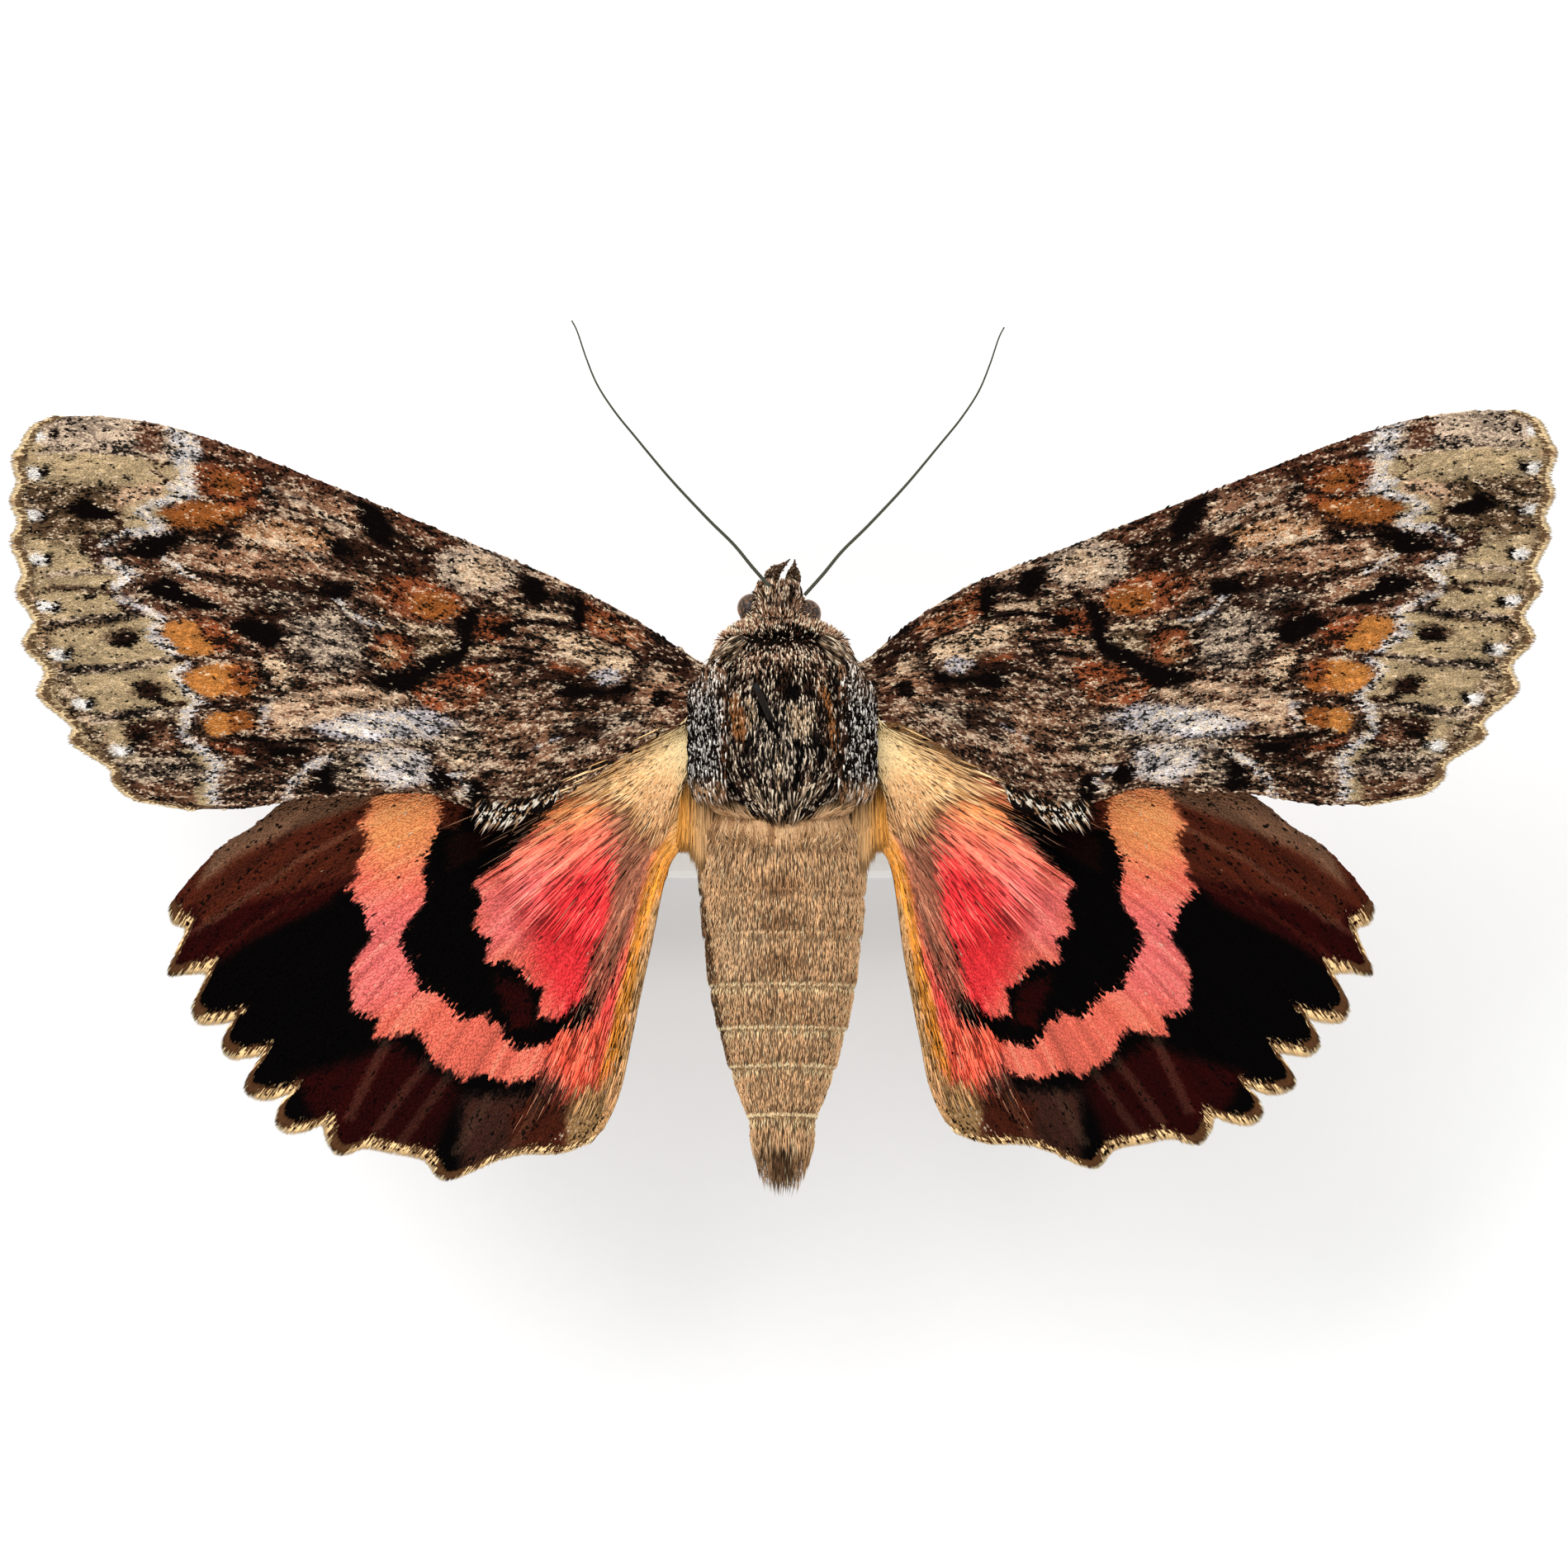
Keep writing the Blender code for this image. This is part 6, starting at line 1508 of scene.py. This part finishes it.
def addTuft(side):
    # long black and white scales that hang over the forewing's inner edge
    draw = np.random.default_rng(53)
    count = rootHair["tuftScales"]
    share = draw.random(count)
    x = 10.0 + 3.6 * share
    edge = np.interp(x, wings["fore"]["back"][:, 0], wings["fore"]["back"][:, 1])
    y = edge + 0.10 + 0.75 * draw.random(count)
    slant = np.stack([np.full(count, 0.62) + 0.12 * draw.normal(size=count), np.full(count, -0.78)], axis=-1)
    slant /= np.linalg.norm(slant, axis=1)[:, None]
    long = 0.45 + 0.75 * draw.random(count)
    flat = np.stack([x, y], axis=-1)
    lines = []
    for step, lift in ((0.0, 0.10), (0.5, 0.24), (1.0, 0.12)):
        at = flat + slant * (long * step)[:, None]
        lines.append(np.stack([side * at[:, 0], at[:, 1], np.full(count, axisHeight + 2.42) + lift], axis=-1))
    lines = np.stack(lines, axis=1)
    pick = draw.random(count)[:, None]
    tones = np.where(pick < 0.55, np.array([14.0, 9.0, 8.0]), np.array([214.0, 204.0, 188.0]))
    tones = np.where((pick > 0.8), np.array([150.0, 116.0, 86.0]), tones)
    up = np.tile([0.0, 0.0, 1.0], (count, 1))
    width = 0.11 * varied(draw, count)
    spots = onMap(share, draw.random(count))
    addLines(f"forewing_tuft_{sideNames[side]}", "forewing_scales", lines, up, width, tones, spots)


for side in sideNames:
    addHindHair(side)
    addFanHair(side)
    addTuft(side)


print("head parts")
headLook = {"at": (-0.19, 6.2, 0.1), "eyes": {-1: (-1.40, 6.98, 0.15), 1: (1.10, 6.72, 0.15)},
            "eyeRadius": 0.66, "browScales": 420}
palpPath = ((0.44, 1.5, -1.5), (0.50, 2.1, -1.0), (0.45, 2.45, -0.3), (0.38, 2.62, 0.15), (0.24, 3.02, 0.60))
palpLean = {-1: 0.56, 1: 0.30}
palpRadii = (0.24, 0.34, 0.25, 0.12, 0.03)
feelerRoots = {-1: (-0.50, 7.85, 1.0), 1: (1.00, 7.55, 1.0)}
feelerRun = ((0.0, 0.0), (0.85, 0.95), (1.72, 2.0), (2.92, 3.18), (4.60, 4.97), (6.10, 6.76), (7.07, 7.95),
             (7.85, 9.14), (8.35, 10.33), (8.75, 11.52), (9.01, 12.05))


brushLook = {"scales": 420, "length": 0.32, "width": 0.085, "end": 0.86, "taper": 0.75, "tone": (112, 80, 58)}
legBrush = {"scales": 780, "length": 0.36, "width": 0.10, "end": 0.96, "taper": 0.5, "tone": (104, 76, 56)}


def addBrush(name, line, radii, look, seed):
    # shaggy scales round a palp or a leg, lying towards its tip
    draw = np.random.default_rng(seed)
    tries = look["end"] * draw.random(look["scales"] * 4)
    wide = np.interp(tries, np.linspace(0.0, 1.0, len(radii)), radii)
    share = tries[np.flatnonzero(draw.random(len(tries)) < wide / np.max(radii))[:look["scales"]]]
    count = len(share)
    turn = 2 * math.pi * draw.random(count)
    places = evenly(line, share)
    ahead = unit(evenly(line, np.minimum(share + 0.02, 1.0)) - evenly(line, np.maximum(share - 0.02, 0.0)))
    aside = unit(np.cross(ahead, np.array([0.0, 0.3, 1.0])))
    above = np.cross(aside, ahead)
    out = aside * np.cos(turn)[:, None] + above * np.sin(turn)[:, None]
    radius = np.interp(share, np.linspace(0.0, 1.0, len(radii)), radii)
    along = unit(ahead + out * 0.16 + draw.normal(0.0, 0.08, (count, 3)))
    tones = np.tile(np.array(look["tone"], float), (count, 1))
    tones = flecked(tones, np.tile([0.28, 0.34], (count, 1)), draw, (226, 200, 168), 0.15)
    length = look["length"] * varied(draw, count) * (1.15 - look["taper"] * share)
    width = look["width"] * varied(draw, count)
    spots = onMap(share, turn / (2 * math.pi))
    places = places + out * (radius * 0.8)[:, None]
    addHair(name, "horn_brown", places, along, out, length, width, tones, spots)


def addTube(name, line, radii, sides, material, slot, node, colour=None):
    # a finished round piece that stands for one CAD node
    piece = finishMesh(tubeAlong(name, line, radii, sides), material, name)
    if colour is not None:
        plainTone(piece, colour)
    dress(piece, slot, node)


def headPoints(points):
    turn = math.radians(bodyLook["headTurn"])
    c, s = math.cos(turn), math.sin(turn)
    p = np.array(points, float)
    x, y, z = headLook["at"]
    return np.stack([p[:, 0] * c - p[:, 1] * s + x, p[:, 0] * s + p[:, 1] * c + y,
                     p[:, 2] + z + axisHeight], axis=-1)


def tubeAlong(name, points, radii, sides):
    # a round piece drawn along points, closed at both ends
    curve = bpy.data.curves.new(name, "CURVE")
    curve.dimensions = "3D"
    curve.bevel_depth = 1.0
    curve.bevel_resolution = sides
    curve.use_fill_caps = True
    line = curve.splines.new("POLY")
    line.points.add(len(points) - 1)
    for knot, place, radius in zip(line.points, points, radii):
        knot.co = (*(place * mm), 1.0)
        knot.radius = radius * mm
    piece = bpy.data.objects.new(name, curve)
    bpy.context.scene.collection.objects.link(piece)
    bpy.ops.object.select_all(action="DESELECT")
    piece.select_set(True)
    bpy.context.view_layer.objects.active = piece
    bpy.ops.object.convert(target="MESH")
    bpy.ops.object.mode_set(mode="EDIT")
    bpy.ops.mesh.select_all(action="SELECT")
    bpy.ops.mesh.remove_doubles(threshold=1e-7)
    bpy.ops.mesh.normals_make_consistent(inside=False)
    bpy.ops.object.mode_set(mode="OBJECT")
    bpy.ops.object.shade_smooth()
    return bpy.context.object


hornFinish = scaleMaterial("horn", 0.42, 0.10, 0.01)


def addEye(side):
    place = np.array(headLook["eyes"][side]) + [0.0, 0.0, axisHeight]
    bpy.ops.object.select_all(action="DESELECT")
    bpy.ops.mesh.primitive_uv_sphere_add(segments=96, ring_count=64, radius=headLook["eyeRadius"] * mm,
                                         location=place * mm)
    eye = bpy.context.object
    bpy.ops.object.transform_apply(location=True, rotation=True, scale=True)
    bpy.ops.object.shade_smooth()
    out = np.zeros(len(eye.data.vertices) * 3)
    eye.data.vertices.foreach_get("co", out)
    out = unit(out.reshape(-1, 3) - place * mm)
    mottle = ramp(cloud(out[:, 0] * 9.0, out[:, 1] * 9.0, 17, 2), 0.42, 0.72)[:, None]
    # painted rim light: a band round the side of each eye is painted orange where light catches it
    rim = (ramp(out[:, 2], 0.58, 0.30) * ramp(out[:, 2], -0.4, 0.1))[:, None]
    tones = np.array([20.0, 13.0, 9.0]) + np.array([92.0, 66.0, 44.0]) * mottle
    storeTone(eye.data, tones + (np.array([150.0, 100.0, 60.0]) - tones) * rim * 0.8)
    return eye


def addBrow(side):
    # scales over the inner half of an eye
    draw = np.random.default_rng(62)
    out = unit(draw.normal(size=(headLook["browScales"] * 4, 3)))
    out = out[(out[:, 0] * side < -0.25) & (out[:, 2] > 0.0)]
    count = len(out)
    centre = np.array(headLook["eyes"][side]) + [0.0, 0.0, axisHeight]
    way = np.array([side * 0.75, -0.35, 0.0]) + draw.normal(0.0, 0.25, (count, 3))
    along = unit(way - out * (way * out).sum(axis=1, keepdims=True) + out * 0.15)
    tones = np.array([118.0, 86.0, 64.0]) * (0.6 + 0.6 * draw.random(count))[:, None]
    tones = flecked(tones, np.tile([0.32, 0.30], (count, 1)), draw, (246, 228, 200), 0.10)
    length = 0.24 * varied(draw, count)
    width = 0.07 * varied(draw, count)
    spots = out[:, :2] * 0.49 + 0.5
    addHair(f"brow_hair_{sideNames[side]}", "body_hair", centre + out * headLook["eyeRadius"], along, out,
            length, width, tones, spots)


finish = Finish("mothEye", Coat_Weight=0.10, Coat_Roughness=0.15, Roughness=0.34, Specular_IOR_Level=0.22)
where = finish.place()
facets = finish.amount("ShaderNodeTexVoronoi", "Distance", {"feature": "F1"}, Vector=where, Scale=16000.0)
eyeFinish = finish.wear(Base_Color=finish.stored("tone"), Normal=finish.bump(facets * -1.0, 0.02))
for side, name in sideNames.items():
    eye = finishMesh(addEye(side), eyeFinish, f"eye_{name}_facets")
    dress(eye, "eye", f"eye_{name}")
    addBrow(side)
    path = [(side * x + palpLean[side] * (k / 4) ** 2, y, z) for k, (x, y, z) in enumerate(palpPath)]
    line = smoothLine(headPoints(path), 24)
    radii = np.interp(np.linspace(0, 4, 24), range(5), palpRadii)
    addTube(f"palp_{name}_core", line, radii, 5, hornFinish, "horn_brown", f"palp_{name}", (74, 58, 46))
    addBrush(f"palp_brush_{name}", line, palpRadii, brushLook, 61)
    x0, y0, z0 = feelerRoots[side]
    run = smoothLine(feelerRun, 240)
    t = np.linspace(0.0, 1.0, len(run))
    rise = 0.5 * np.sin(t * 2.4) + 1.6 * t ** 2
    line = np.stack([x0 + side * run[:, 0], y0 + run[:, 1], axisHeight + z0 + rise], axis=-1)
    radii = (0.084 - 0.050 * t) * (1.0 + 0.10 * np.cos(np.arange(len(t)) * math.pi))
    addTube(f"antenna_{name}_thread", line, radii, 3, hornFinish, "horn_brown", f"antenna_{name}",
            (66, 67, 56))

coilTurn = np.radians(100) + 2 * math.pi * 1.1 * np.linspace(0, 1, 90)
coilReach = 1.05 - 0.73 * np.linspace(0, 1, 90)
coil = np.stack([np.zeros(90), 1.35 + coilReach * np.cos(coilTurn), -2.15 + coilReach * np.sin(coilTurn)],
                axis=-1)
addTube("proboscis_coil", headPoints(coil), np.full(90, 0.22), 4, hornFinish, "horn_brown", "proboscis",
        (92, 60, 36))


print("legs")
legs = {
    "fore": ((1.1, 3.4, -3.0), (2.3, 4.3, -5.0), (1.3, 6.0, -4.6), (0.8, 7.6, -3.6)),
    "mid": ((1.3, 0.6, -3.4), (3.5, 1.4, -5.7), (3.1, -2.6, -6.0), (2.5, -6.6, -5.4)),
    "hind": ((1.0, -1.2, -3.0), (2.0, -3.2, -5.0), (1.5, -8.2, -5.0), (1.0, -12.8, -4.4)),
}
# Along a leg, a joint at each whole number, and the leg's radius there
legRadii = ((0, 0.40), (0.5, 0.48), (0.95, 0.34), (1.1, 0.26), (1.6, 0.30), (2.0, 0.22), (2.1, 0.17),
            (3.0, 0.11))
bends = np.array([[0.08], [0.92]])
for pair, joints in legs.items():
    for side, name in sideNames.items():
        knots = np.array(joints) * [side, 1, 1] + [0, 0, axisHeight]
        inner = np.vstack([a + (b - a) * bends for a, b in zip(knots, knots[1:])])
        line = smoothLine(np.vstack([knots[:1], inner, knots[-1:]]), 48)
        t = np.linspace(0, 3, len(line))
        radii = fromTable(legRadii, t)
        addTube(f"leg_{pair}_{name}_core", line, radii, 4, hornFinish, "horn_brown", f"leg_{pair}_{name}",
                (70, 52, 38))
        addBrush(f"leg_brush_{pair}_{name}", line, radii, legBrush, 63)


print("stand")
finish = Finish("standPaint", Roughness=0.4)
speck = finish.noise(finish.place(), 2500.0, 3.0)
standPaint = finish.wear(Base_Color=finish.mix(speck, tint(222, 222, 218), tint(230, 230, 227)),
                         Roughness=speck * 0.15 + 0.35, Normal=finish.bump(speck, 0.01))
finish = Finish("blackSteel", Metallic=0.1, Roughness=0.5, Specular_IOR_Level=0.2)
brushed = finish.noise(finish.stretch(finish.place(), (1.0, 1.0, 0.06)), 9000.0, 2.0)
blackSteel = finish.wear(Base_Color=finish.mix(brushed, tint(5, 4, 4), tint(18, 16, 16)),
                         Roughness=brushed * 0.2 + 0.40, Normal=finish.bump(brushed, 0.004))
for name, material in (("stand_base", standPaint), ("stand_rod", blackSteel)):
    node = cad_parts[name]
    node.data.materials.clear()
    node.data.materials.append(material)
pin = {"entry": (-0.35, 1.50, 3.4), "top": (-1.17, 3.32, 7.9), "radius": 0.15}
shaft = np.linspace(pin["entry"], pin["top"], 12) + np.array([0.0, 0.0, axisHeight])
addTube("stand_pin_shaft", shaft, np.full(12, pin["radius"]), 5, blackSteel, "stand_steel", "stand_pin")
